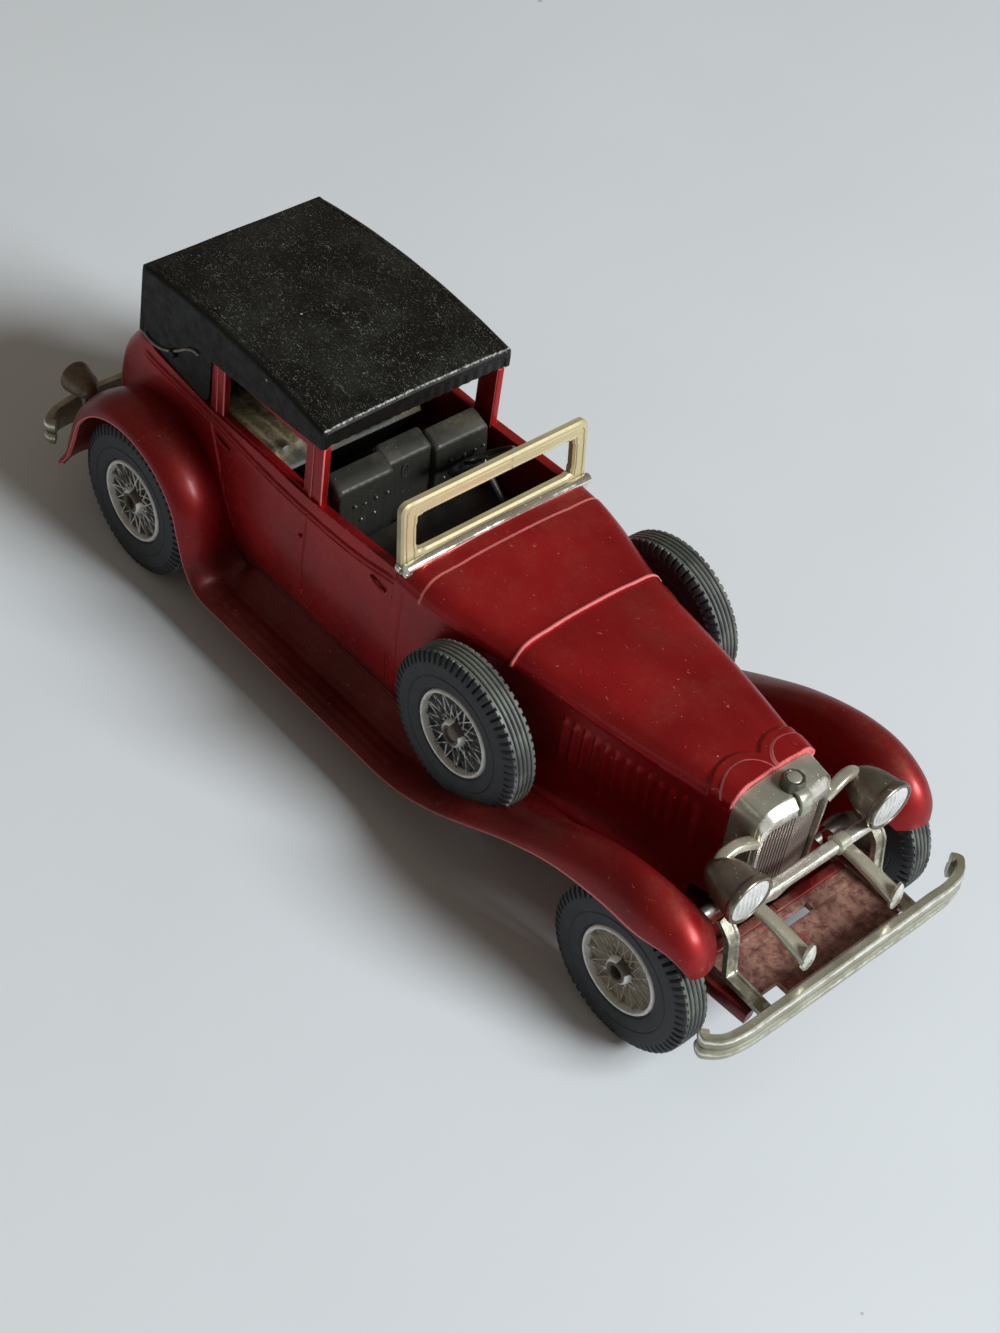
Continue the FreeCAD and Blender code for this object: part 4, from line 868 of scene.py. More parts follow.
def tubHalfWidth(x, z):
    # Half width of the tub at each x and z, from its levels.
    levels = np.array(tub["levels"])
    names = ("foot", "waist", "shoulder", "edge")
    foot, waist, shoulder, edge = (cubic(tub["x"], tub[key], x.ravel()) for key in names)
    under, over = foot + 0.65 * (waist - foot), waist * 0.45 + shoulder * 0.55 + 0.05
    table = np.stack([foot, under, waist, over, shoulder, edge], axis=-1)
    slope = np.gradient(table, levels, axis=1)
    i, width, t = knotSpan(levels, z.ravel())
    row = np.arange(len(i))
    value = hermite(table[row, i], table[row, i + 1], slope[row, i], slope[row, i + 1], width, t)
    return value.reshape(x.shape)


def tubRim(x):
    # Height of the tub's upper rim at each x.
    return np.interp(x, (-49.0, -34.7, -13.3, 0.9), (29.6, 28.0, 28.0, 29.0))


def beltHeight(x):
    # Height of the waist line at each x.
    return cubic((-49.0, -34.0, -15.5, -5.0, 1.6), (28.2, 27.25, 26.35, 26.9, 28.1), x)


def tubSkin(inset, v):
    # Half of the outer skin from the scuttle to the middle of the tail: rows of (x, y, z), y below zero.
    tail = np.asarray(tub["tail"])
    lengths = lengthsAlong(tail)
    profile = cubic(lengths, tail, v * lengths[-1])
    tailX, tailZ = profile[:, 0] + inset, profile[:, 1]
    xs = steps((0.9, -12.0, 0.6), (-12.0, -14.2, 0.55), (-14.2, -15.6, 0.08), (-15.6, -27.6, 0.6), (-27.6, -34.6, 0.12),
               (-34.6, tub["cornerFrom"], 0.5))
    radius = max(tub["corner"] - inset, 0.6)
    cornerX = tailX + radius
    beyond = tub["cornerFrom"] + (cornerX[:, None] - tub["cornerFrom"]) * np.linspace(0, 1, 7)[1:]
    x = np.concatenate([np.broadcast_to(xs, (len(v), len(xs))), beyond], axis=1)
    foot, rim = tub["footZ"], tub["levels"][-1]
    z = foot + (tubRim(x) - foot) * ((tailZ - foot) / (rim - foot))[:, None]
    y = tubHalfWidth(x, z) - inset
    turn = np.radians(np.linspace(0, 90, 9))[1:]
    cornerY = y[:, -1] - radius
    ax = cornerX[:, None] - radius * np.sin(turn)[None, :]
    ay = cornerY[:, None] + radius * np.cos(turn)[None, :]
    by = cornerY[:, None] * np.linspace(1, 0, 9)[None, 1:]
    side, corner, back = xyz(x, -y, z), xyz(ax, -ay, tailZ[:, None]), xyz(tailX[:, None], -by, tailZ[:, None])
    return np.concatenate([side, corner, back], axis=1)


def overMiddle(half):
    # Rows that run to the middle, carried on to the other side.
    return np.concatenate([half, mirrored(half[:, ::-1][:, 1:])], axis=1)


def tubPart():
    # Tub: outer skin with door seams and waist mouldings, then an inner wall and a foot that close it.
    v = np.concatenate([np.linspace(0, 0.55, 34, endpoint=False), np.linspace(0.55, 1.0, 62)])
    full = overMiddle(tubSkin(0.0, v))
    normal = gridNormals(full)
    if normal[40, 4, 1] > 0:
        normal = -normal
    x, y, z = full[..., 0], full[..., 1], full[..., 2]
    sides = smoothStep(10.5, 12.0, np.abs(y)) * smoothStep(-48.5, -46.5, x)
    (xa, za), (xb, zb) = tub["seamC"]
    away = ((x - xa) * (zb - za) - (z - za) * (xb - xa)) / math.hypot(xb - xa, zb - za)
    under = smoothStep(12.6, 13.4, z)
    depth = tub["grooveDepth"]
    lift = -depth * ridge(x, tub["seamB"], 0.14) * smoothStep(26.4, 25.9, z) * under
    lift -= depth * ridge(away, 0.0, 0.16) * smoothStep(26.6, 26.0, z) * under
    belt = beltHeight(x)
    ends = smoothStep(0.9, 0.2, x)
    for line in (belt, belt - tub["beadGap"]):
        lift -= 0.20 * ridge(z, line, 0.13) * ends * sides
    lift += 0.10 * smoothStep(belt + 0.1, belt - 0.1, z) * smoothStep(belt - 0.85, belt - 0.65, z) * sides
    wear = np.maximum.reduce([
        0.45 * ridge(z, belt + 0.25, 0.12) * sides, 0.40 * ridge(z, belt - 1.0, 0.12) * sides,
        0.55 * ridge(x, tub["seamB"] + 0.28, 0.12) * smoothStep(26.4, 25.9, z) * under,
        0.40 * ridge(away, 0.30, 0.12) * under * smoothStep(27, 26, z),
        0.60 * ridge(z, 11.3, 0.16) * smoothStep(-24.0, -16.0, x),
        0.55 * smoothStep(0.982, 0.998, v)[:, None] + 0 * x,
    ])
    full = full + normal * lift[..., None]
    innerRows = 9
    innerFull = overMiddle(tubSkin(tub["wall"], np.full(innerRows, 1.0)))
    drop = np.linspace(0, 1, innerRows)[:, None]
    top = innerFull[..., 2]
    innerFull[..., 2] = top - 0.05 - drop * (top - tub["innerLow"])
    innerFull[..., 0] = np.minimum(innerFull[..., 0], 0.9)
    foot = innerFull[-1:].copy()
    foot[..., 2] = tub["footZ"]
    rows = np.concatenate([full, innerFull, foot])
    wearRows = np.concatenate([wear, np.zeros((innerRows + 1, wear.shape[1]))])
    return loopSolid(rows.transpose(1, 0, 2), wearRows.T)


windowFrame = {
    "front": -13.3, "pillar": 3.3, "window": 15.6, "rearPillar": 2.5, "outer": 13.7, "wall": 1.1, "foot": 27.4,
    "sill": 28.0, "top": 35.0,
}


def windowPosts():
    # Two pillars, the rail over the window, the sill and two upright beads, for both sides.
    f = windowFrame
    y0, y1 = -f["outer"], -f["outer"] + f["wall"]
    rear = f["front"] - f["pillar"] - f["window"] - f["rearPillar"]
    posts = [
        roundedBox(f["front"] - f["pillar"], f["front"], y0, y1, f["foot"], 36.6, 0.22),
        roundedBox(rear, rear + f["rearPillar"], y0, y1, f["foot"], 38.0, 0.22),
        roundedBox(rear + 0.3, f["front"] - 1.4, y0 + 0.05, y1, f["top"], 38.0, 0.2),
        roundedBox(rear + 0.3, f["front"] - 0.3, y0 + 0.02, y1, f["foot"], f["sill"] + 0.25, 0.15),
        roundedBox(f["front"] - 2.2, f["front"] - 1.7, y0 - 0.14, y0 + 0.3, 27.9, 36.4, 0.12),
        roundedBox(rear + 0.9, rear + 1.35, y0 - 0.14, y0 + 0.3, 28.0, 35.4, 0.12),
    ]
    return bothSides(joined(posts))


handles = {"levers": ((-2.9, 25.25), (-32.6, 25.0)), "lockBehind": 0.7, "lockZ": 22.0}


def doorHandles():
    # A small lever on its stem on each door, just under the waist line, and a lock behind the door seam.
    parts = []
    for x, z in handles["levers"]:
        y = -float(tubHalfWidth(np.array([[x]]), np.array([[z]]))[0, 0])
        path = smoothPath([(x, y - 0.10, z + 0.35), (x + 1.0, y - 0.26, z + 0.12), (x + 2.5, y - 0.18, z - 0.2)], 9)
        parts.append(sweep(path, circle(0.17, 8), (0, 0, 1)))
        parts.append(rodPart((x + 2.4, y + 0.3, z - 0.18), (x + 2.4, y - 0.3, z - 0.18), 0.3, 10))
    x, z = tub["seamB"] - handles["lockBehind"], handles["lockZ"]
    parts.append(rodPart((x, -14.2, z), (x, -14.75, z), 0.28, 10, 0.08))
    return bothSides(joined(parts))


makeObject("bonnet", hoodPart(), "paint", ("body_shell",), 50)
makeObject("tub", tubPart(), "paint", ("body_shell",), 50)
makeObject("windowPosts", windowPosts(), "paint", ("body_shell",), 40)
makeObject("doorHandles", doorHandles(), "paint", ("body_shell",), 40)
print("body ready")


# Wings, running boards and frame

wing = {
    "edge": 21.2, "crown": 17.5, "sheet": 0.8, "boardZ": 7.5, "boardInner": 13.9, "boardRise": 2.2, "boardLip": 0.9,
    "boardFront": 6.0, "boardRear": -23.5, "arch": 14.0, "axleX": -42.0, "frontAxleX": 48.2, "axleZ": 10.3,
    "footZ": 9.7, "ribPitch": 1.2, "ribDepth": 0.022, "ribInner": 15.4, "ribOuter": 20.3, "lipOut": 0.12,
}


def wingStations():
    # Tail to nose: place, slope, inner edge and its drop, outer edge and its drop.
    w = wing
    rows = [(-57.6, 7.0, 62, 14.2, 0.6, w["edge"], 1.2), (-56.4, 9.4, 72, 14.1, 0.6, w["edge"], 1.7)]
    for degrees in (172, 150, 120, 90, 60, 32, 10):
        turn = math.radians(degrees)
        rows.append((w["axleX"] + w["arch"] * math.cos(turn), w["axleZ"] + w["arch"] * math.sin(turn), degrees - 90,
                     13.9, 0.7, w["edge"], 2.3))
    rows += [(-27.5, 9.8, -68, 13.9, 0.0, w["edge"], 1.7), (-26.3, 8.0, -34, 13.9, -1.2, w["edge"], 1.1)]
    for x in (w["boardRear"] - 0.8, w["boardRear"], -14.0, -4.0, w["boardFront"], w["boardFront"] + 1.5):
        rows.append((x, w["boardZ"], 0, w["boardInner"], -w["boardRise"], w["edge"], w["boardLip"]))
    foot = w["footZ"]
    rows += [
        (12.0, 7.9, 10, 13.6, -1.9, w["edge"], w["boardLip"]), (18.0, 10.0, 25, 12.4, -0.6, w["edge"], 1.0),
        (24.0, 13.4, 31, 11.3, 2.0, w["edge"], 1.2), (30.0, 17.2, 32, 10.8, 6.0, w["edge"], 1.7),
        (36.0, 20.8, 27, 10.6, 20.8 - foot, w["edge"], 2.8), (41.0, 23.0, 18, 10.6, 23.0 - foot, w["edge"], 3.9),
        (45.5, 24.2, 8, 10.6, 24.2 - foot, w["edge"], 4.6), (49.5, 24.3, -6, 10.8, 12.0, w["edge"], 4.7),
        (53.0, 23.4, -25, 11.4, 7.5, 20.9, 4.2), (55.7, 21.6, -48, 12.4, 4.6, 20.4, 3.0),
        (57.1, 19.2, -74, 13.4, 2.6, 19.8, 1.5), (57.4, 17.6, -88, 14.2, 1.4, 19.2, 0.8),
    ]
    return np.array(rows, float)


def wingOutline(rows, depth):
    # Across the wing: a flank that falls towards the car and a rounded outer shoulder, as (y, drop).
    inner, dropIn, outer, dropOut = (rows[:, k][:, None] for k in (3, 4, 5, 6))
    crown = wing["crown"]
    share = np.linspace(1, 0, 26)[:-1][None, :]
    flank = np.stack([crown - share * (crown - inner), dropIn * share ** 1.8], axis=-1)
    turn = np.radians(np.concatenate([np.linspace(0, 78, 22), np.linspace(80, 90, 5)]))[None, :]
    shoulder = np.stack([crown + (outer - crown) * np.sin(turn), dropOut * (1 - np.cos(turn))], axis=-1)
    outline = np.concatenate([flank, shoulder], axis=1)
    d = unit(np.gradient(outline, axis=1))
    return outline + depth * np.stack([-d[..., 1], d[..., 0]], axis=-1)


def wingPart():
    # Wing and running board: the outline carried along smooth stations, once for the top and once for its underside.
    stations = wingStations()
    lengths = lengthsAlong(stations[:, :2])
    rows = cubic(lengths, stations, np.linspace(0, lengths[-1], 300))
    angle = np.radians(rows[:, 2])[:, None]

    def place(outline):
        x = rows[:, 0][:, None] + outline[..., 1] * np.sin(angle)
        z = rows[:, 1][:, None] - outline[..., 1] * np.cos(angle)
        return xyz(x, -outline[..., 0], z)

    top, low = place(wingOutline(rows, 0.0)), place(wingOutline(rows, wing["sheet"]))
    edge = 0.5 * (top[:, -1:] + low[:, -1:])
    edge[..., 1] -= wing["lipOut"]
    loop = np.concatenate([top, edge, low[:, ::-1]], axis=1)
    columns = top.shape[1]
    wear = np.zeros(loop.shape[:2])
    wear[:, columns - 3:columns + 1] = (0.45, 0.9, 1.1, 1.1)
    x, y = loop[:, :columns, 0], -loop[:, :columns, 1]
    onBoard = (x > wing["boardRear"]) & (x < wing["boardFront"] + 3) & (y < wing["ribOuter"]) & (y > wing["ribInner"])
    loop[:, :columns, 2] += np.where(onBoard, wing["ribDepth"] * np.cos(y * 2 * np.pi / wing["ribPitch"]), 0.0)
    return loopSolid(loop, wear, "strip")


chassis = {
    "low": 8.7, "high": 9.95, "plates": ((-53.5, 8.0, 14.0), (8.0, 26.0, 12.4), (26.0, 53.0, 11.2)),
    "rail": (-53.0, 56.0, -10.0, -8.0, 5.7, 8.8), "nose": (51.9, 53.3, -11.2, 0.05, 8.7, 11.0), "lugY": (-10.0, -8.0),
    "lugs": ((-2.5, -1.0, 8.0, 12.2), (1.0, 2.5, 8.0, 12.2), (-2.5, 2.5, 11.2, 12.3)),
    "basePlate": (-50.0, 44.0, -7.9, 7.9, 7.5, 8.68), "grit": 0.3, "apronTop": 10.85, "apronFoot": 9.9,
}


def framePart():
    # Right half of the frame under the body: plates, rail, nose and axle lugs.
    c = chassis
    parts = [roundedBox(x0, x1, -half, 0.05, c["low"], c["high"], 0.15) for x0, x1, half in c["plates"]]
    parts += [roundedBox(*c["rail"], 0.2), roundedBox(*c["nose"], 0.3)]
    for x in (wing["axleX"], wing["frontAxleX"]):
        parts += [roundedBox(x + x0, x + x1, *c["lugY"], z0, z1, 0.2) for x0, x1, z0, z1 in c["lugs"]]
    return joined(parts)


def hornPart(count=24):
    # The splayed end of the frame beside the wheel: a thin curved plate.
    t = np.linspace(0, 1, count)
    path = xyz(46 + 14.9 * t, -12.35 - 0.55 * np.sin(np.pi * t), 9.9 + 0.5 * np.sin(2.6 * t))
    return sweep(path, roundedRectangle(1.6, 2.0, 0.4), (0, 1, 0), wear=0.2)


def apronPart():
    # Crusty front plate with a hole and a cut corner: blocks whose tops are raised by waves and random grit.
    c = chassis
    rng = np.random.default_rng(5)
    parts = []
    cells = [
        (53.3, 54.1, -11.2, 11.2), (54.1, 55.3, 3.6, 11.2), (54.1, 55.3, -11.2, -1.2), (55.3, 59.8, -11.2, 11.2),
        (59.8, 61.4, -6.9, 11.2),
    ]
    for x0, x1, y0, y1 in cells:
        x, y = (np.linspace(a, b, max(3, int((b - a) / c["grit"]))) for a, b in ((x0, x1), (y0, y1)))
        gx, gy = np.meshgrid(x, y, indexing="ij")
        waves = 0.10 * np.sin(1.7 * gx + 0.6 * np.sin(1.3 * gy)) * np.cos(1.1 * gy)
        top = c["apronTop"] + waves + 0.05 * rng.random(gx.shape)
        top[[0, -1], :] = 10.80
        top[:, [0, -1]] = 10.80
        parts.append(loopSolid(np.concatenate([xyz(gx, gy, top), xyz(gx, gy, c["apronFoot"])[:, ::-1]], axis=1)))
    return joined(parts)


makeObject("wings", bothSides(wingPart()), "wingPaintShaded", ("chassis_wings",), 50)
makeObject("frame", joined([bothSides(framePart()), bothSides(hornPart())]), "framePaintShaded",
           ("chassis_wings",), 40)
makeObject("apron", apronPart(), "apron", ("chassis_wings",), 30)
makeObject("basePlate", roundedBox(*chassis["basePlate"], 0.3), "enamel", ("base_plate",))
print("wings ready")


# Wheels

wheel = {
    "tyreRadius": 10.3, "width": 4.2, "outer": 20.2, "rimRadius": 5.6, "lip": 0.55, "inset": 0.15, "dish": 1.1,
    "hub": 1.7, "bore": 0.84, "notches": 62, "notchDepth": 0.30, "spokes": 16, "frontX": wing["frontAxleX"],
    "rearX": wing["axleX"], "axleZ": wing["axleZ"], "axleHalf": 19.4, "axleRadius": 0.8, "spareX": 16.8, "spareZ": 18.5,
    "spareOuter": 18.1, "pegInner": 11.2, "pegOuter": 17.95, "pegRadius": 1.3,
}


def tyrePart(x, z, outerY):
    # Ribbed tread, notched shoulders and a bulged wall with a moulded ring.
    w = wheel
    a = np.linspace(-1.5, 1.5, 31)
    tread = w["tyreRadius"] - 0.06 * (a / 1.5) ** 2
    for centre in (-0.9, -0.3, 0.3, 0.9):
        tread = tread - 0.24 * ridge(a, centre, 0.09)
    wallShare = np.array([[1.72, 5.66], [1.95, 5.9], [2.08, 6.5], [2.12, 7.2], [2.02, 7.36], [2.12, 7.52], [2.12, 8.3],
                          [2.06, 8.95], [1.98, 9.3], [1.86, 9.72], [1.68, 10.02]])
    low = np.stack([-wallShare[:, 0], wallShare[:, 1]], axis=-1)
    profile = np.concatenate([low, np.stack([a, tread], axis=-1), wallShare[::-1]])
    shoulder = smoothStep(8.9, 9.3, profile[:, 1]) * smoothStep(1.25, 1.45, np.abs(profile[:, 0]))

    def notch(turn, along, radius):
        wave = smoothStep(0.1, 0.5, np.cos(turn * w["notches"]))
        cut = w["notchDepth"] * wave * shoulder[None, :]
        return along - np.sign(along) * cut * 0.9, radius - cut * 0.8

    ribs = np.where(np.abs(profile[:, 0]) < 1.55, smoothStep(10.12, 10.24, profile[:, 1]), 0.0)
    wear = np.maximum(ribs, 0.25 * ridge(profile[:, 1], 9.6, 0.4))
    return lathe(profile, (x, -(outerY - w["width"] / 2), z), (0, 1, 0), 248, wear, notch)


def rimRing(x, z, outerY):
    # The silver ring that holds the tyre.
    w = wheel
    face, back = outerY - w["inset"], outerY - w["width"] + 0.4
    inner = w["rimRadius"] - w["lip"]
    profile = [(back, w["rimRadius"] - 0.03), (face - 0.25, w["rimRadius"] - 0.03), (face, w["rimRadius"] - 0.16),
               (face + 0.06, w["rimRadius"] - 0.3), (face, inner + 0.1), (face - 0.3, inner), (back, inner)]
    return lathe([(-a, r) for a, r in profile], (x, 0, z), (0, 1, 0), 96, 1.0)


def dishPart(x, z, outerY):
    # The sunk disc behind the wires, from the bore to the ring.
    w = wheel
    bore = w["bore"]
    face, back = outerY - w["inset"], outerY - w["width"] + 0.45
    dish = face - w["dish"]
    inner = w["rimRadius"] - w["lip"] + 0.02
    profile = [(back, bore), (dish + 0.35, bore), (dish + 0.5, w["hub"]), (dish + 0.1, w["hub"] + 0.5),
               (dish, inner - 0.7), (dish + 0.25, inner), (dish - 0.6, inner), (dish - 0.5, w["hub"] + 0.7),
               (back, w["hub"] + 0.6)]
    return lathe([(-a, r) for a, r in profile], (x, 0, z), (0, 1, 0), 72)


def hubPart(x, z, outerY):
    # A raised disc; silver is left in two crescents on its rim.
    w = wheel
    bore = w["bore"]
    face = outerY - w["inset"]
    dish = face - w["dish"]
    profile = [(dish + 0.3, bore), (face + 0.1, bore), (face + 0.25, bore + 0.12), (face + 0.22, w["hub"] - 0.35),
               (face + 0.05, w["hub"] - 0.1), (face - 0.3, w["hub"]), (dish + 0.3, w["hub"] + 0.1)]
    turn = np.linspace(0, 2 * np.pi, 48, endpoint=False)[:, None]
    crescents = smoothStep(0.35, 0.7, np.abs(np.cos(turn - 0.5)))
    rim = np.array([0, 0, 0, 0.8, 1.5, 1.5, 0.2])
    return lathe([(-a, r) for a, r in profile], (x, 0, z), (0, 1, 0), 48, crescents * rim)


def spokeParts(x, z, outerY):
    # Wires from the hub to the ring in pairs that cross, standing proud of the dish.
    w = wheel
    face = outerY - w["inset"]
    parts = []
    profile = circle(0.085, 5)
    for k in range(w["spokes"]):
        base = 2 * math.pi * k / w["spokes"]
        for lean in (-1, 1):
            a, b = base + lean * 0.28, base - lean * 0.19
            start = (x + 1.75 * math.cos(a), -(face - 0.62), z + 1.75 * math.sin(a))
            end = (x + 5.08 * math.cos(b), -(face - 0.55), z + 5.08 * math.sin(b))
            parts.append(sweep(np.linspace(start, end, 5), profile, (0, 1, 0), wear=1.0))
    return joined(parts)


def pairOf(name):
    return (name + "_right", name + "_left")


def wheelSet(name, x, z, outerY, body, dish, wires):
    # The pair of wheels on both sides: tyres, and rims made of rings, wires, dishes and hubs.
    tyres, rims = pairOf(name + "_tyre"), pairOf(name + "_rim")
    makeObject(name + "Tyres", bothSides(tyrePart(x, z, outerY)), "tyre", tyres, 30, body)
    for label, build, look, angle in (("Rings", rimRing, "rimRing", 40), ("Spokes", spokeParts, wires, 60),
                                      ("Dishes", dishPart, dish, 40), ("Hubs", hubPart, "hub", 40)):
        makeObject(name + label, bothSides(build(x, z, outerY)), look, rims, angle, body)


wheelSet("front", wheel["frontX"], wheel["axleZ"], wheel["outer"], "front_wheelset", "rimDish", "rimWire")
wheelSet("rear", wheel["rearX"], wheel["axleZ"], wheel["outer"], "rear_wheelset", "shadedRearDish", "shadedRearWire")
wheelSet("spare", wheel["spareX"], wheel["spareZ"], wheel["spareOuter"], "car", "spareDish", "spareWire")
for name, x in (("front", wheel["frontX"]), ("rear", wheel["rearX"])):
    ends = [(x, side * wheel["axleHalf"], wheel["axleZ"]) for side in (-1, 1)]
    makeObject(name + "Axle", rodPart(*ends, wheel["axleRadius"], 20, 0.2), "steel", (name + "_axle",),
               body=name + "_wheelset")
ends = [(wheel["spareX"], -y, wheel["spareZ"]) for y in (wheel["pegInner"], wheel["pegOuter"])]
peg = rodPart(*ends, wheel["pegRadius"], 20, 0.2)
makeObject("sparePegs", bothSides(peg), "bronze", pairOf("spare_peg"))
print("wheels ready")


# Roof

roof = {
    "front": -13.0, "rear": -48.7, "end": -50.1, "edge": 39.4, "rearRise": 0.3, "crown": 0.3, "arch": 1.6,
    "half": 14.3, "rearHalf": 13.6, "skirtFront": 36.9, "skirtRear": 35.0, "wall": 0.95, "quarterFront": -34.85,
    "corner": 0.8, "quarterCorner": 1.7, "windowWidth": 9.0, "windowLow": 33.2, "windowHigh": 36.8,
}


def roofLow(x):
    # Height of the lower edge at each x: a sloping skirt, then the quarter panel down to the rim.
    r = roof
    skirt = np.interp(x, (r["quarterFront"], r["front"]), (r["skirtRear"], r["skirtFront"]))
    rim = np.interp(x, (-49.0, -34.7), (29.7, 28.12))
    q = r["quarterCorner"]
    inside = np.clip((r["quarterFront"] - x) / q, 0, 1)
    rounded = rim + q * (1 - np.sqrt(np.clip(1 - (1 - inside) ** 2, 0, 1)))
    return np.where(x > r["quarterFront"], skirt, rounded)


def roofEdge(x):
    # Half width and height of the top's edge: straight lines plus a parabola that peaks halfway along.
    r = roof
    share = (x - r["end"]) / (r["front"] - r["end"])
    swell = 4 * share * (1 - share)
    half = r["rearHalf"] + (r["half"] - r["rearHalf"]) * share
    return half, r["edge"] + r["rearRise"] * (1 - share) + r["arch"] * swell


def roofLoop(x, inset, extra=0.0):
    # Right low edge, up, over the crown and down the left: (y, z) for each x.
    r = roof
    half, edge = roofEdge(x)
    half, edge = half - inset - extra, edge - inset - extra
    low = roofLow(x)
    corner = max(r["corner"] - inset * 0.4, 0.15)
    up = np.linspace(0, 1, 14)[None, :]
    sideZ = low[:, None] + (edge - corner - low)[:, None] * up
    sideY = np.broadcast_to(half[:, None], sideZ.shape)
    turn = np.radians(np.linspace(0, 90, 9))[1:-1][None, :]
    arcY = half[:, None] - corner + corner * np.cos(turn)
    arcZ = edge[:, None] - corner + corner * np.sin(turn)
    flat = (half - corner)[:, None]
    topY = flat * np.concatenate([np.linspace(1, 0.94, 8), np.linspace(0.93, 0, 18)])[None, :]
    topZ = edge[:, None] + r["crown"] * (1 - (topY / flat) ** 2)
    y = np.concatenate([sideY, arcY, topY], axis=1)
    z = np.concatenate([sideZ, arcZ, topZ], axis=1)
    y = np.concatenate([y, -y[:, ::-1][:, 1:]], axis=1)
    z = np.concatenate([z, z[:, ::-1][:, 1:]], axis=1)
    return y, z


def roofTop():
    # Top and skirts as one sheet, with a groove along both sides, gentle waves, and front and side edges marked by the
    # wear value for a pale line that is partly wear and partly painted highlight.
    r = roof
    x = steps((r["front"], -13.6, 0.08), (-13.6, -34.6, 0.45), (-34.6, r["quarterFront"], 0.2),
              (r["quarterFront"] - 0.001, -36.6, 0.12), (-36.6, r["rear"], 0.4))
    bevel = np.clip(0.30 - (r["front"] - x) * 0.9, 0, None)
    y, z = roofLoop(x, 0.0, bevel)
    innerY, innerZ = roofLoop(x, r["wall"])
    lowZ, xs = roofLow(x)[:, None], x[:, None]
    innerZ = np.where(innerZ < lowZ + 0.02, lowZ, innerZ)
    half, edge = roofEdge(x)
    top = smoothStep(-0.5, -0.1, z - edge[:, None])
    groove = 0.13 * ridge(np.abs(y) - half[:, None], -1.15, 0.16) * top
    outer = xyz(xs, -y, z - groove + 0.02 * np.sin(0.9 * xs + 2.0 * np.sin(0.21 * y)) * top)
    loop = np.concatenate([outer, xyz(xs, -innerY, innerZ)[:, ::-1]], axis=1)
    columns = outer.shape[1]
    wear = np.zeros(loop.shape[:2])
    # Front and side edge lines: partly wear, partly painted highlight.
    frontEdge = ridge(xs, r["front"] - 0.3, 0.26) * top
    sideEdge = 0.78 * ridge(np.abs(y) - half[:, None], -0.55, 0.22) * top
    low = 0.55 * ridge(z - lowZ, 0.0, 0.25) * smoothStep(-34.0, -30.0, xs)
    wear[:, :columns] = np.maximum.reduce([1.15 * frontEdge, sideEdge, low])
    return loopSolid(loop, wear, "strip")


def roofNose():
    # The front band under the roof edge, with shallow upright ribs.
    r = roof
    y = np.linspace(-r["half"] + 0.35, r["half"] - 0.35, 116)
    ribs = 0.10 * np.cos(y * 2 * np.pi / 1.5)
    top = r["edge"] - 0.35 + 0.4 * (1 - (y / r["half"]) ** 2)
    front, back, low = r["front"] - 0.12 + ribs * 0.5, r["front"] - 1.3, r["skirtFront"]
    rows = [(back, low), (front - 0.15, low), (front, low + 0.15), (front, top - 0.25), (front - 0.3, top), (back, top)]
    loop = np.stack([xyz(x, y, z) for x, z in rows], axis=1)
    wear = np.zeros(loop.shape[:2])
    wear[:, 2] = 0.35
    return loopSolid(loop, wear)


def roofBack():
    # The leaning back panel with its small window.
    r = roof
    shares = np.linspace(0, 1, 97)[:-1]
    low, high = 29.75, r["edge"] + 0.25
    halfOut = r["rearHalf"] - 0.15
    outer = loopAt([(-halfOut, low), (halfOut, low), (halfOut, high), (-halfOut, high)], shares)
    halfIn = r["windowWidth"] / 2
    scale = np.array([halfIn / halfOut, (r["windowHigh"] - r["windowLow"]) / (high - low)])
    middle = np.array([0, (low + high) / 2])
    inner = (outer - middle) * scale + np.array([0, (r["windowLow"] + r["windowHigh"]) / 2])

    def toPoint(loop, depth):
        leanX = np.interp(loop[:, 1], (29.7, 39.7), (-49.15, -48.55))
        return xyz(leanX - 0.35 - depth, loop[:, 0], loop[:, 1])

    panel = frameRing(outer, inner, toPoint, 0.9, 0.12)
    panel["wear"] = panel["wear"] * 0.15
    return panel


landau = {
    "line": ((-48.3, 30.25), (-47.6, 29.95), (-46.6, 29.85), (-45.5, 30.0), (-43.2, 30.9), (-41.4, 32.1), (-39.2, 33.8),
             (-37.9, 34.4), (-37.1, 34.4)),
    "radius": 0.2, "knobX": -42.2, "knobZ": 31.2, "knobRadius": 0.6, "knobLength": 0.75,
}


def landauIrons():
    # A thin flattened S just off each quarter panel.
    path = smoothPath([(x, -roofEdge(np.array(x))[0] - 0.16, z) for x, z in landau["line"]], 40)
    return bothSides(sweep(path, circle(landau["radius"], 8, 0.9), (0, 1, 0), wear=1.0))


def landauKnobs():
    # A dark knob halfway along each iron.
    x, z = landau["knobX"], landau["knobZ"]
    y = -float(roofEdge(np.array(x))[0]) + 0.2
    return bothSides(rodPart((x, y, z), (x, y - landau["knobLength"], z), landau["knobRadius"], 16, 0.15))


makeObject("roofTop", joined([roofTop(), roofNose(), roofBack()]), "roof", ("roof",), 35)
makeObject("landauIrons", landauIrons(), "iron", ("roof",), 40)
makeObject("landauKnobs", landauKnobs(), "roof", ("roof",), 40)
print("roof ready")


# Windscreen

screen = {
    "half": 14.1, "low": 28.6, "high": 38.6, "cut": 0.9, "bar": 2.2, "openLow": 31.4, "openHigh": 36.5, "thick": 1.2,
    "x": 1.9, "tilt": 6.5, "railZ": 30.6,
}


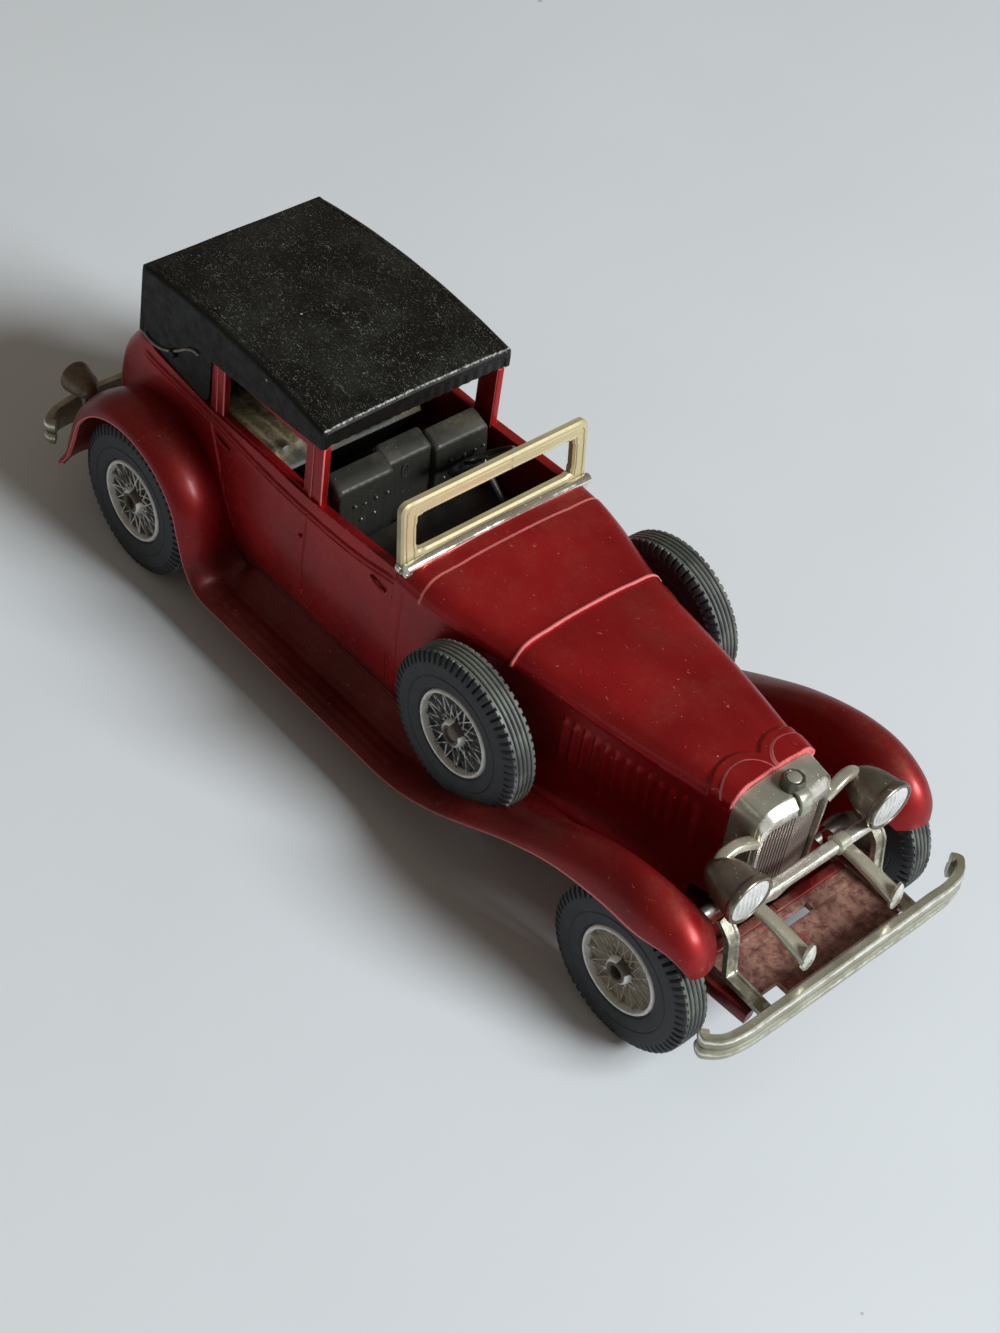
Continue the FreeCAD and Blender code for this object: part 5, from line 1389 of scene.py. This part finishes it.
def screenPoints(x, y, z):
    # Leans points of the upright screen back about its foot.
    s = screen
    pivotZ = s["low"] + (s["high"] - s["low"]) * 0.1
    turn = math.radians(-s["tilt"])
    dx, dz = x - s["x"], z - pivotZ
    leanX = s["x"] + dx * math.cos(turn) + dz * math.sin(turn)
    return xyz(leanX, y, pivotZ - dx * math.sin(turn) + dz * math.cos(turn))


def screenFrame():
    # An open frame with cut upper corners, and two thin lines along its face.
    s = screen
    shares = np.linspace(0, 1, 181)[:-1]
    c, h, top = s["cut"], s["half"], s["high"]
    side = [(h, s["low"] + 0.6), (h, top - c), (h - c * 0.35, top - c * 0.35), (h - c, top)]
    outer = loopAt([(-y, z) for y, z in side[:1]] + side + [(-y, z) for y, z in side[:0:-1]], shares)
    i, r = h - s["bar"], 0.7
    inner = np.clip(outer, (-i, s["openLow"]), (i, s["openHigh"]))
    middle = np.array([0, (s["openLow"] + s["openHigh"]) / 2])
    size = np.array([i, (s["openHigh"] - s["openLow"]) / 2])
    away = (inner - middle) / size
    pull = np.clip(np.abs(away) - (1 - r / size), 0, None)
    corner = (pull[:, 0] > 0) & (pull[:, 1] > 0)
    inner = np.where(corner[:, None], inner - np.sign(away) * 0.16, inner)

    def toPoint(loop, depth):
        return screenPoints(s["x"] - s["thick"] / 2 + depth, loop[:, 0], loop[:, 1])

    parts = [frameRing(outer, inner, toPoint, s["thick"], 0.25)]
    for inset in (0.65, 1.7):
        ring = outer + (inner - outer) * (inset / s["bar"])
        ring = ring[ring[:, 1] > s["openLow"] - 1.0]
        gap = int(np.argmax(np.linalg.norm(np.diff(ring, axis=0), axis=1)))
        ring = np.roll(ring, -gap - 1, axis=0)
        path = toPoint(ring, s["thick"] / 2 + 0.02)
        parts.append(sweep(path, circle(0.10, 6), (1, 0, 0)))
    return joined(parts)


def screenRail():
    # The bright rounded rail across the foot, a thinner one under it, and a lug at the right-hand end.
    s = screen
    y = np.linspace(-s["half"] + 0.1, s["half"] - 0.1, 60)
    path = screenPoints(s["x"] + 0.55, y, s["railZ"] - 0.25 * (y / s["half"]) ** 2)
    # Full wear all along the rail gives it a painted highlight.
    rail = sweep(path, circle(0.7, 12, 0.9), (1, 0, 0), wear=1.0)
    lower = screenPoints(s["x"] + 0.4, y, s["railZ"] - 1.15)
    low = sweep(lower, circle(0.38, 10), (1, 0, 0), wear=0.6)
    lug = roundedBox(s["x"] - 1.0, s["x"] - 0.1, -s["half"] - 0.4, -s["half"] + 0.4, 29.5, 30.4, 0.25)
    return joined([rail, low, lug])


makeObject("screenFrame", screenFrame(), "screen", ("windscreen_frame",), 40)
makeObject("screenRail", screenRail(), "rail", ("windscreen_frame",), 40)
print("screen ready")


# Interior and steering wheel

cabin = {
    "half": 12.35, "front": 0.75, "rear": -48.3, "floor": 12.6, "seatTop": 21.0, "backTop": 30.3, "frontSeatX": -12.6,
    "rearSeatX": -44.2, "depth": 9.0, "thick": 3.2, "seatHalf": 11.5, "gapHalf": 3.2, "setBack": 0.95, "dashTop": 28.4,
    "benchFront": -23.8, "benchTop": 25.2, "benchHalf": 10.8, "wheelX": -8.0, "wheelY": 6.6, "wheelZ": 29.0,
    "wheelRadius": 4.0, "wheelTilt": 50.0, "columnTilt": 38.0,
    "studs": ((-9.3, 26.6), (-7.8, 26.4), (-6.1, 26.5), (-4.4, 26.5), (-6.2, 24.2), (-8.2, 24.1), (5.5, 26.7),
              (7.6, 26.6), (9.3, 26.6), (10.6, 26.7), (4.6, 24.4)),
}


def seatBack(x, top, half, pleats, low):
    # One padded place: a flat sloping top with a crisp front edge, pleats on the front, rounded ends.
    rear = x - cabin["thick"]
    profile = np.array([
        (x + 0.35, low), (x + 0.45, low + 5.4), (x + 0.36, top - 4.5), (x + 0.14, top - 1.4), (x + 0.02, top - 1.02),
        (x - 0.26, top - 0.84), (x - 1.4, top - 0.45), (x - 2.3, top - 0.12), (x - 2.7, top - 0.08),
        (rear + 0.12, top - 0.5), (rear, top - 1.2), (rear, top - 6), (rear, low),
    ])
    middle = np.array([x - 1.4, top - 5.0])
    y = np.linspace(-half, half, 90)
    edge = np.clip((np.abs(y) - (half - 0.8)) / 0.8, 0, 1)
    shrink = 1 - 0.16 * (1 - np.sqrt(np.clip(1 - edge ** 2, 0, 1)))
    loop = np.zeros((len(y), len(profile), 3))
    loop[..., 0] = middle[0] + (profile[None, :, 0] - middle[0]) * shrink[:, None]
    loop[..., 1] = y[:, None]
    loop[..., 2] = middle[1] + (profile[None, :, 1] - middle[1]) * shrink[:, None]
    face = np.array([0.6, 1, 1, 0.3, 0, 0, 0, 0, 0, 0, 0, 0, 0])
    loop[..., 0] += 0.13 * np.abs(np.sin(y * np.pi / pleats))[:, None] * face[None, :]
    # The wear value on the top front edge makes a pale line there: painted highlight.
    return loopSolid(loop, [0, 0, 0, 0.2, 1.0, 0.9, 0, 0, 0, 0, 0, 0, 0])


def benchPart():
    # Rear cushion with ribs running fore and aft.
    c = cabin
    y = np.linspace(-c["benchHalf"], c["benchHalf"], 200)
    rib = 0.32 * np.abs(np.sin(y * np.pi / 1.9)) - 0.5 * smoothStep(c["benchHalf"] - 0.8, c["benchHalf"], np.abs(y))
    top, front, rear, low = c["benchTop"], c["benchFront"], c["rearSeatX"] + 0.5, c["floor"] + 0.4
    rows = [(rear, low, 0), (front - 7.0, low, 0), (front - 0.6, top - 2.0, 0), (front, top - 1.3, 0),
            (front - 0.4, top - 0.8, 0), (front - 1.6, top - 0.5, 0), (front - 2.4, top, 1), (rear, top - 0.6, 1)]
    return loopSolid(np.stack([xyz(x, y, z + rib * share) for x, z, share in rows], axis=1))


def interiorPart():
    # Floor, dash with its lower roll, front cushion, and the padded backs of both seats.
    c = cabin
    h = c["half"]
    parts = [
        roundedBox(c["rear"], c["front"], -h, h, c["floor"], c["floor"] + 1.0, 0.2),
        roundedBox(c["front"] - 1.2, c["front"], -h, h, c["floor"], c["dashTop"], 0.4),
        roundedBox(c["front"] - 1.9, c["front"] - 0.9, -h + 1, h - 1, 25.0, 27.6, 0.35),
        roundedBox(c["frontSeatX"], c["frontSeatX"] + c["depth"], -h + 0.5, h - 0.5, c["floor"], c["seatTop"], 0.9),
    ]
    width, low = (c["seatHalf"] - c["gapHalf"]) / 2, c["floor"] + 0.5
    for side in (-1, 1):
        place = seatBack(c["frontSeatX"], c["backTop"], width, 1.15, low)
        parts.append(movedPart(place, (0, side * (c["gapHalf"] + width), 0)))
    parts.append(seatBack(c["frontSeatX"] - c["setBack"], c["backTop"] - 0.05, c["gapHalf"] + 0.3, 1.4, low))
    parts.append(seatBack(c["rearSeatX"], c["backTop"] - 1.2, h - 0.9, 1.0, low))
    return joined(parts)


def seatButtons():
    # Small studs on the front of the seat back, and an oval ring moulded in its middle.
    c = cabin
    x = c["frontSeatX"] + 0.2
    parts = [rodPart((x - 0.2, y, z), (x + 0.5, y, z), 0.27, 8, 0.12) for y, z in c["studs"]]
    turn = np.linspace(0, 2 * np.pi, 24, endpoint=False)
    ring = xyz(x - c["setBack"] + 0.12, -0.9 + 0.5 * np.cos(turn), 27.4 + 0.95 * np.sin(turn))
    parts.append(sweep(ring, circle(0.13, 6), (1, 0, 0), closed=True))
    return joined(parts)


def steeringPart():
    # Rim, three spokes, boss and column.
    c = cabin
    centre = np.array([c["wheelX"], c["wheelY"], c["wheelZ"]])
    tilt = math.radians(c["wheelTilt"])
    axis = np.array([-math.cos(tilt), 0, math.sin(tilt)])
    down = np.array([math.cos(math.radians(c["columnTilt"])), 0, -math.sin(math.radians(c["columnTilt"]))])
    across = np.array([0, 1.0, 0])
    up = np.cross(axis, across)
    turn = np.linspace(0, 2 * np.pi, 64, endpoint=False)[:, None]
    path = centre + c["wheelRadius"] * (np.cos(turn) * across + np.sin(turn) * up)
    parts = [sweep(path, circle(0.42, 10), axis, closed=True)]
    for degrees in (90, 210, 330):
        d = across * math.cos(math.radians(degrees)) + up * math.sin(math.radians(degrees))
        parts.append(rodPart(centre + d * 0.5, centre + d * (c["wheelRadius"] - 0.1), 0.26, 8))
    parts.append(rodPart(centre - axis * 0.6, centre + axis * 0.5, 0.9, 18, 0.2))
    parts.append(rodPart(centre - axis * 0.3, centre + down * 7.0, 0.45, 10))
    return joined(parts)


makeObject("interior", interiorPart(), "interior", ("interior",), 40)
makeObject("seatStuds", seatButtons(), "stud", ("interior",), 40)
makeObject("rearCushion", benchPart(), "bench", ("interior",), 40)
makeObject("steeringWheel", steeringPart(), "steering", ("steering_wheel",), 40)
print("interior ready")


# Radiator

radiator = {
    "rear": 47.6, "depth": 4.8, "half": 6.3, "frontHalf": 5.6, "taper": 0.5, "top": 29.3, "foot": 12.0, "point": 0.9,
    "border": 0.7, "topBorder": 2.6, "bars": 23, "capZ": 30.45,
}


def radiatorLoop(half, top, low, count=121):
    # Arched outline as (y, z), clockwise from the right foot.
    foot = half - radiator["taper"]
    bend = top - 3.0
    side = [(-half, bend), (-half + 0.18, bend + 1.3), (-half + 0.8, bend + 2.25), (-half + 2.2, top - 0.32)]
    arch = smoothPath(side + [(0, top)] + [(-y, z) for y, z in side[::-1]], 60)
    corners = [(-foot, low), *arch, (foot, low)]
    return loopAt(corners, np.linspace(0, 1, count)[:-1])


def radiatorShell():
    # Plated shell with a pointed front: loops from its rear edge over the bevel into the mouth and back.
    r = radiator
    front = r["rear"] + r["depth"]
    slope = r["point"] / r["half"]
    outerRear = radiatorLoop(r["half"], r["top"], r["foot"])
    outerFront = radiatorLoop(r["frontHalf"], r["top"] - 0.2, r["foot"])
    mouth = radiatorLoop(r["frontHalf"] - r["border"], r["top"] - r["topBorder"], r["foot"] + r["border"])

    def row(loop, x, pointed=True):
        xs = x - (slope * np.abs(loop[:, 0]) if pointed else 0)
        return xyz(xs, loop[:, 0], loop[:, 1])

    def blend(a, b, t):
        return a + (b - a) * t

    inward = unit(mouth - outerFront)
    columns = [(row(outerRear, r["rear"], False), 0.35)]
    for t in (0.03, 0.35, 0.7, 0.9):
        edge = row(blend(outerRear, outerFront, t), 0)
        x = r["rear"] + t * (front - r["rear"])
        edge[:, 0] = np.minimum(x, front - slope * np.abs(edge[:, 1]) - 0.35)
        columns.append((edge, 0.0))
    bevel = 0.3 + 0.75 * smoothStep(r["top"] - 3.0, r["top"] - 1.4, outerFront[:, 1])[:, None]
    over = front - 0.9 * bevel[:, 0]
    edge[:, 0] = np.minimum(edge[:, 0], over - slope * np.abs(outerFront[:, 0]) - 0.3)
    # The bevel columns carry high wear values: a painted highlight along the bevel.
    columns += [
        (row(outerFront + inward * 0.04, over), 0.8),
        (row(outerFront + inward * (0.5 * bevel), 0.5 * (over + front)), 1.1),
        (row(outerFront + inward * bevel, front), 1.0),
        (row(mouth - inward * 0.14, front), 0.85), (row(mouth, front - 0.1), 0.5),
        (row(mouth, r["rear"] + 1.5, False), 0.0), (row(blend(mouth, outerRear, 0.5), r["rear"], False), 0.0),
    ]
    grid = np.stack([c for c, _ in columns], axis=1)
    wear = np.tile([w for _, w in columns], (len(grid), 1))
    # Wear on the shoulder crease: a painted highlight line.
    shoulder = ridge(np.abs(outerRear[:, 0]), r["half"] - 0.8, 0.35) * (outerRear[:, 1] > r["top"] - 2.6)
    wear[:, :5] = np.maximum(wear[:, :5], shoulder[:, None])
    return outward(gridPart(grid, wear, wrapRows=True, wrapColumns=True))


def capPart():
    # Disc of the filler cap and a strap from it down to the front edge.
    r = radiator
    x = r["rear"] + r["depth"] / 2
    profile = [(-0.4, 0.03), (-0.4, 0.86), (0.04, 0.86), (0.12, 0.76), (0.15, 0.03)]
    disc = lathe(profile, (x, 0, r["capZ"]), (0, 0, 1), 32)
    path = cornered([(x + 0.9, 0, r["top"] + 0.25), (x + 1.9, 0.0, r["top"] + 0.05), (x + 2.5, 0, r["top"] - 0.9),
                     (x + 2.5, 0, r["top"] - 2.3)], 0.5)
    strap = sweep(path, roundedRectangle(1.7, 0.4, 0.15), (0, 1, 0), wear=0.5)
    return joined([disc, strap])


def capRing():
    # Dark eight-sided collar round the disc.
    r = radiator
    profile = [(-1.6, 0.9), (-1.6, 1.34), (-0.4, 1.36), (-0.1, 1.3), (0.04, 1.18), (0.04, 1.0), (-0.06, 0.9)]

    def facets(turn, along, radius):
        return along, radius * (1 - 0.025 * np.cos(8 * turn))

    return lathe(profile, (r["rear"] + r["depth"] / 2, 0, r["capZ"]), (0, 0, 1), 64, change=facets)


def grillePart():
    # Upright bars in front of a dark pointed plate.
    r = radiator
    front = r["rear"] + r["depth"] - 0.5
    half = r["frontHalf"] - r["border"] - 0.03
    slope = r["point"] / r["half"]
    top, low = r["top"] - r["topBorder"] - 0.05, r["foot"] + r["border"] + 0.05
    outline = radiatorLoop(half, top, low)
    y, z = outline.T
    plate = np.stack([xyz(front - 0.4 - slope * np.abs(y), y, z), xyz(r["rear"] + 1.55, y, z)])
    parts = [loopSolid(plate)]
    upper = outline[outline[:, 1] > top - 3.1]
    upper = upper[np.argsort(upper[:, 0])]
    for y in np.linspace(-half + 0.25, half - 0.25, r["bars"]):
        z1 = float(np.interp(y, upper[:, 0], upper[:, 1])) - 0.05
        x = front - slope * abs(y)
        if abs(y) <= half - 0.4:
            parts.append(sweep([(x - 0.2, y, low + 0.02), (x - 0.2, y, z1)], circle(0.15, 8), (1, 0, 0), wear=1.0))
    return joined(parts)


makeObject("radiatorShell", joined([radiatorShell(), capPart()]), "shell",
           ("radiator_shell",), 40)
makeObject("radiatorCap", capRing(), "capRing", ("radiator_shell",), 30)
makeObject("radiatorGrille", grillePart(), "grille", ("radiator_grille",), 50)
print("radiator ready")


# Lamps

lamp = {"x": 56.2, "y": 11.0, "z": 23.9, "length": 6.4, "lensRadius": 2.7, "lensDepth": 0.5}


def lampBowl():
    # A round shell that tapers to the back, with a rolled rim in front.
    l = lamp
    back = -l["length"]
    profile = [(-0.62, 0.03), (back + 0.4, 0.03), (back, 0.03), (back + 0.06, 0.5), (back + 0.35, 1.1),
               (back + 0.9, 1.65), (back + 1.6, 2.1), (back + 2.5, 2.46), (back + 3.6, 2.73), (-1.9, 2.86),
               (-1.1, 2.93), (-0.98, 3.02), (-0.85, 3.12), (-0.55, 3.2), (-0.25, 3.18), (-0.05, 3.08), (0.02, 2.94),
               (-0.02, 2.8), (-0.12, 2.72), (-0.5, 2.71), (-0.62, 2.6)]
    smooth = cubic(np.arange(len(profile)), np.array(profile), np.linspace(0, len(profile) - 1, 64))
    smooth[:, 1] = np.maximum(smooth[:, 1], 0.02)
    # The wear value on the rolled rim gives it a painted highlight.
    return lathe(smooth, (l["x"], -l["y"], l["z"]), (1, 0, 0), 64, smoothStep(-0.5, -0.1, smooth[:, 0]))


def lampLens():
    # A shallow dome with fine wavy upright ribs, as a closed disc grid.
    l = lamp
    r = np.linspace(0.02, l["lensRadius"], 34)
    turn = np.linspace(0, 2 * np.pi, 144, endpoint=False)
    rr, tt = np.meshgrid(r, turn, indexing="ij")
    y, z = rr * np.cos(tt), rr * np.sin(tt)
    inside = smoothStep(l["lensRadius"] - 0.15, l["lensRadius"] - 0.4, rr)
    dome = 0.30 * (1 - (rr / l["lensRadius"]) ** 2) - 0.18
    ribs = 0.075 * np.cos(y * 2 * np.pi / 0.62 + 0.9 * np.sin(z * 1.3)) * inside
    face = xyz(l["x"] + dome + ribs, -l["y"] + y, l["z"] + z)
    back = xyz(l["x"] - l["lensDepth"], -l["y"] + y[-1:], l["z"] + z[-1:])
    wear = np.concatenate([np.clip(0.5 + ribs * 7, 0, 1), np.zeros_like(y[-1:])])
    return loopSolid(np.concatenate([face, back]), wear)


def lampBracket():
    # An arched arm from the side of the radiator shell into the back of the bowl, with a painted highlight along one
    # side.
    line = ((51.0, -5.5, 0.6), (51.0, -7.0, 1.5), (50.8, -8.9, 1.8), (50.9, -10.6, 1.2), (51.8, -11.3, 0.4))
    path = smoothPath([(x, y, lamp["z"] + rise) for x, y, rise in line], 24)
    profile = roundedRectangle(1.55, 1.2, 0.45)
    return sweep(path, profile, (1, 0, 0), wear=(profile[:, 1] < -0.2) * 0.9 + 0.1)


makeObject("headlamps", bothSides(lampBowl()), "bowl", pairOf("headlamp"), 40)
makeObject("lampBrackets", bothSides(lampBracket()), "chrome", pairOf("headlamp"), 40)
makeObject("headlampLenses", bothSides(lampLens()), "lens", pairOf("headlamp_lens"), 50)
print("lamps ready")


# Crossbar and bumpers

bar = {
    "x": 54.4, "z": 19.9, "half": 10.75, "root": 7.0, "skew": -1.2, "clipY": 7.0, "clipLow": 15.8, "clipHigh": 20.1,
    "leaf": ((0, 0), (0.34, 0.10), (0.5, 0.32), (0.46, 0.62), (0.26, 0.88), (0, 1), (-0.26, 0.88), (-0.46, 0.62),
             (-0.5, 0.32), (-0.34, 0.10), (0, 0)),
}
bumper = {
    "tip": 64.2, "half": 21.1, "height": 4.3, "z": 12.4, "rearZ": 8.0, "rearHalf": 20.1, "stayY": 11.7,
    "stayWidth": 1.7, "stayThick": 0.7, "tipShare": 0.80, "rearStayY": 9.0,
}


def crossbarPart():
    # The bar between the lamps and, on each side, a collar and a curved arm that ends in a leaf-shaped clip.
    b = bar
    along = np.linspace(-b["half"], b["half"], 30)
    # High wear values on the bar and clips give the plating's painted highlight lines.
    parts = [sweep(xyz(b["x"], along, b["z"]), roundedRectangle(1.6, 1.5, 0.5), (1, 0, 0), wear=0.9)]
    for side in (-1, 1):
        root, tip = side * b["root"] + b["skew"], side * b["clipY"]
        parts.append(rodPart((b["x"], root - 0.95, b["z"]), (b["x"], root + 0.95, b["z"]), 1.2, 24, 0.25))
        line = ((b["x"], 0, 0), (56.4, 0.25, 0.35), (59.4, 0.62, 1.25), (62.4, 1, 2.4))
        path = smoothPath([(x, root + (tip - root) * share, b["z"] - drop) for x, share, drop in line], 24)
        size = np.linspace(0.92, 1.12, 24)
        parts.append(sweep(path, roundedRectangle(1.75, 1.15, 0.42), (0, 1, 0), wear=0.25, scale=size))
        height = b["clipHigh"] - b["clipLow"]
        outline = smoothPath([(tip + u * 1.8, b["clipLow"] + v * height) for u, v in b["leaf"]], 33)[:-1]
        centre = outline.mean(axis=0)
        layers = []
        for x, shrink in ((62.1, 0.9), (62.2, 1.0), (62.55, 1.0), (62.72, 0.82)):
            ring = centre + (outline - centre) * shrink
            layers.append(xyz(x, ring[:, 0], ring[:, 1]))
        parts.append(loopSolid(np.array(layers), 0.9))
    return joined(parts)


def bumperBar(direction, tip, midZ, half):
    # A nearly straight double bar: its section follows the plan outline and is less high at the curled tips.
    outline = np.array([(0.0, 0.0), (0.0, 0.3), (0.02, 0.6), (0.2, 0.8), (0.7, 0.9), (1.6, 0.965), (2.6, 1.0),
                        (3.4, 0.99), (4.0, 0.965)])
    side = xyz(tip - direction * outline[:, 0], outline[:, 1] * half, 0)
    path = smoothPath(np.concatenate([mirrored(side[::-1]), side[1:]]), 190)
    tangent = pathFrames(path)
    inward = xyz(-tangent[:, 1], tangent[:, 0], 0)
    inward *= -np.sign(inward[len(path) // 2, 0] * direction)
    s = np.linspace(-1, 1, 9)
    upper = [(0.28 * v ** 2 + 0.02, 0.55 + 0.45 * v) for v in s]
    lower = [(0.28 * v ** 2, -0.52 + 0.48 * v) for v in s]
    profile = np.array(lower + [(0.5, -0.02), (0.5, 0.06)] + upper
                       + [(0.75, 1.0), (1.15, 0.98), (1.3, 0.86), (1.3, -0.9), (1.15, -1.0)])
    share = np.abs(path[:, 1]) / half
    heightScale = 1 - (1 - bumper["tipShare"]) * smoothStep(0.55, 0.97, share)
    points = path[:, None, :] + inward[:, None, :] * profile[None, :, 0:1]
    points[..., 2] = midZ + profile[None, :, 1] * bumper["height"] / 2 * heightScale[:, None]
    points[..., 2] -= (1 - heightScale)[:, None] * bumper["height"] / 2 * 0.35
    # Wear values along the crests of both bars drive the plating's painted highlight lines.
    wear = np.zeros(points.shape[:2])
    wear[:, :9] = 0.1 + 0.8 * ridge(s, 0.3, 0.35)[None, :]
    wear[:, 11:20] = 0.1 + 0.95 * ridge(s, 0.55, 0.35)[None, :]
    return loopSolid(points, wear)


def stayPart(points, y, width, thick, wear=0.5):
    # A folded strap with raised edges along both sides.
    path = cornered([(x, y, z) for x, z in points], 0.6)
    edge, top = width / 2, thick / 2
    profile = [(-edge, -top), (edge, -top), (edge, top), (edge - 0.28, top), (edge - 0.42, top - 0.2),
               (-edge + 0.42, top - 0.2), (-edge + 0.28, top), (-edge, top)]
    return sweep(path, profile, (0, 1, 0), wear=wear)


def frontBumper():
    b = bumper
    points = [(53.9, 19.4), (55.7, 17.7), (56.1, 15.3), (56.6, 12.4), (b["tip"] - 1.0, 11.9)]
    stays = [stayPart(points, side * b["stayY"], b["stayWidth"], b["stayThick"], 0.7) for side in (-1, 1)]
    return joined([bumperBar(1, b["tip"], b["z"], b["half"])] + stays)


def rearBumper():
    b = bumper
    points = [(-53.1, 7.2), (-60.0, 7.5), (-b["tip"] + 1.0, 7.8)]
    stays = [stayPart(points, side * b["rearStayY"], b["stayWidth"], b["stayThick"]) for side in (-1, 1)]
    return joined([bumperBar(-1, -b["tip"], b["rearZ"], b["rearHalf"])] + stays)


rearLamp = {"x": -60.4, "y": -16.0, "z": 16.2, "stalk": ((-58.2, 15.6), (-57.7, 13.2), (-56.6, 10.4)), "radius": 0.6}


def rearLamps():
    # A small bowl on a bent stalk on each rear wing.
    r = rearLamp
    profile = [(0.0, 0.03), (-0.02, 1.9), (-0.1, 2.12), (0.3, 2.22), (0.7, 2.15), (1.4, 2.0), (2.6, 1.75), (3.6, 1.25),
               (4.3, 0.65), (4.6, 0.03)]
    bowl = lathe(profile, (r["x"], r["y"], r["z"]), (1, 0, 0), 40, 0.2)
    path = smoothPath([(x, r["y"], z) for x, z in r["stalk"]], 12)
    stalk = sweep(path, circle(r["radius"], 10), (0, 1, 0))
    return bothSides(joined([bowl, stalk]))


makeObject("crossbar", crossbarPart(), "chrome", ("lamp_crossbar",), 40)
makeObject("frontBumper", frontBumper(), "bumper", ("front_bumper",), 40)
makeObject("rearBumper", rearBumper(), "bumper", ("rear_bumper",), 40)
makeObject("rearLamps", rearLamps(), "bronze", pairOf("rear_lamp"), 40)
print("front and rear fittings ready")


# Stage: camera, floor and light

view = {"azimuth": 42.095, "elevation": 45.457, "roll": 9.482, "place": (0.1375, -0.1454, 0.2088), "lens": 62.49}
stage = {
    "floor": (0.66, 0.705, 0.735, 1), "keyPlace": (0.96, 0.30, 0.74), "keySize": 0.5, "keyPower": 20.9,
    "keyColor": (0.97, 1.0, 1.02), "world": (1.0, 0.85, 0.70, 1), "worldPower": 0.175, "speck": (0.25, 0.25, 0.28, 1),
    "floorHalf": 2.0,
}


def addCamera():
    azimuth, elevation, roll = (math.radians(view[key]) for key in ("azimuth", "elevation", "roll"))
    level = math.cos(elevation)
    back = Vector((math.sin(azimuth) * level, -math.cos(azimuth) * level, math.sin(elevation)))
    side = Vector((0, 0, 1)).cross(back).normalized()
    over = back.cross(side)
    right = side * math.cos(roll) + over * math.sin(roll)
    up = over * math.cos(roll) - side * math.sin(roll)
    data = bpy.data.cameras.new("camera")
    data.lens = view["lens"]
    data.sensor_width = 36
    data.clip_start = 0.01
    data.clip_end = 10
    camera = bpy.data.objects.new("camera", data)
    matrix = Matrix((right, up, back)).transposed().to_4x4()
    matrix.translation = Vector(view["place"])
    camera.matrix_world = matrix
    bpy.context.scene.collection.objects.link(camera)
    bpy.context.scene.camera = camera


def addFloor():
    # Plain pale floor: its colour darkened a little by wide noise, with a few specks.
    mesh = bpy.data.meshes.new("floor")
    half = stage["floorHalf"]
    mesh.from_pydata([(-half, -half, 0), (half, -half, 0), (half, half, 0), (-half, half, 0)], [], [(0, 1, 2, 3)])
    floor = bpy.data.objects.new("floor", mesh)
    bpy.context.scene.collection.objects.link(floor)
    material, tree, shader, place, _ = surface("floor")
    cloud = remap(tree, noise(tree, place, 0.02, 3.0), 0.3, 0.7, 0.0, 0.35)
    color = mixColor(tree, cloud, stage["floor"], [v * 0.93 for v in stage["floor"][:3]] + [1])
    specks = useGroup(tree, "specks", Place=place, Scale=0.09, Share=0.25, Size=0.035)
    color = layer(tree, color, specks, 0.5, stage["speck"])
    feed(tree, shader.inputs["Base Color"], color)
    shader.inputs["Roughness"].default_value = 0.7
    mesh.materials.append(material)


def addKey():
    # The one light, aimed at the car.
    data = bpy.data.lights.new("key", "AREA")
    data.shape = "DISK"
    data.size = stage["keySize"]
    data.energy = stage["keyPower"]
    data.color = stage["keyColor"]
    light = bpy.data.objects.new("key", data)
    light.location = stage["keyPlace"]
    light.rotation_mode = "QUATERNION"
    light.rotation_quaternion = Vector(stage["keyPlace"]).to_track_quat("Z", "Y")
    bpy.context.scene.collection.objects.link(light)


def addWorld():
    world = bpy.data.worlds.new("world")
    world.use_nodes = True
    background = world.node_tree.nodes["Background"]
    background.inputs[0].default_value = stage["world"]
    background.inputs[1].default_value = stage["worldPower"]
    bpy.context.scene.world = world


addCamera()
addFloor()
addKey()
addWorld()
bpy.context.scene.view_settings.view_transform = "Standard"
print("stage ready")
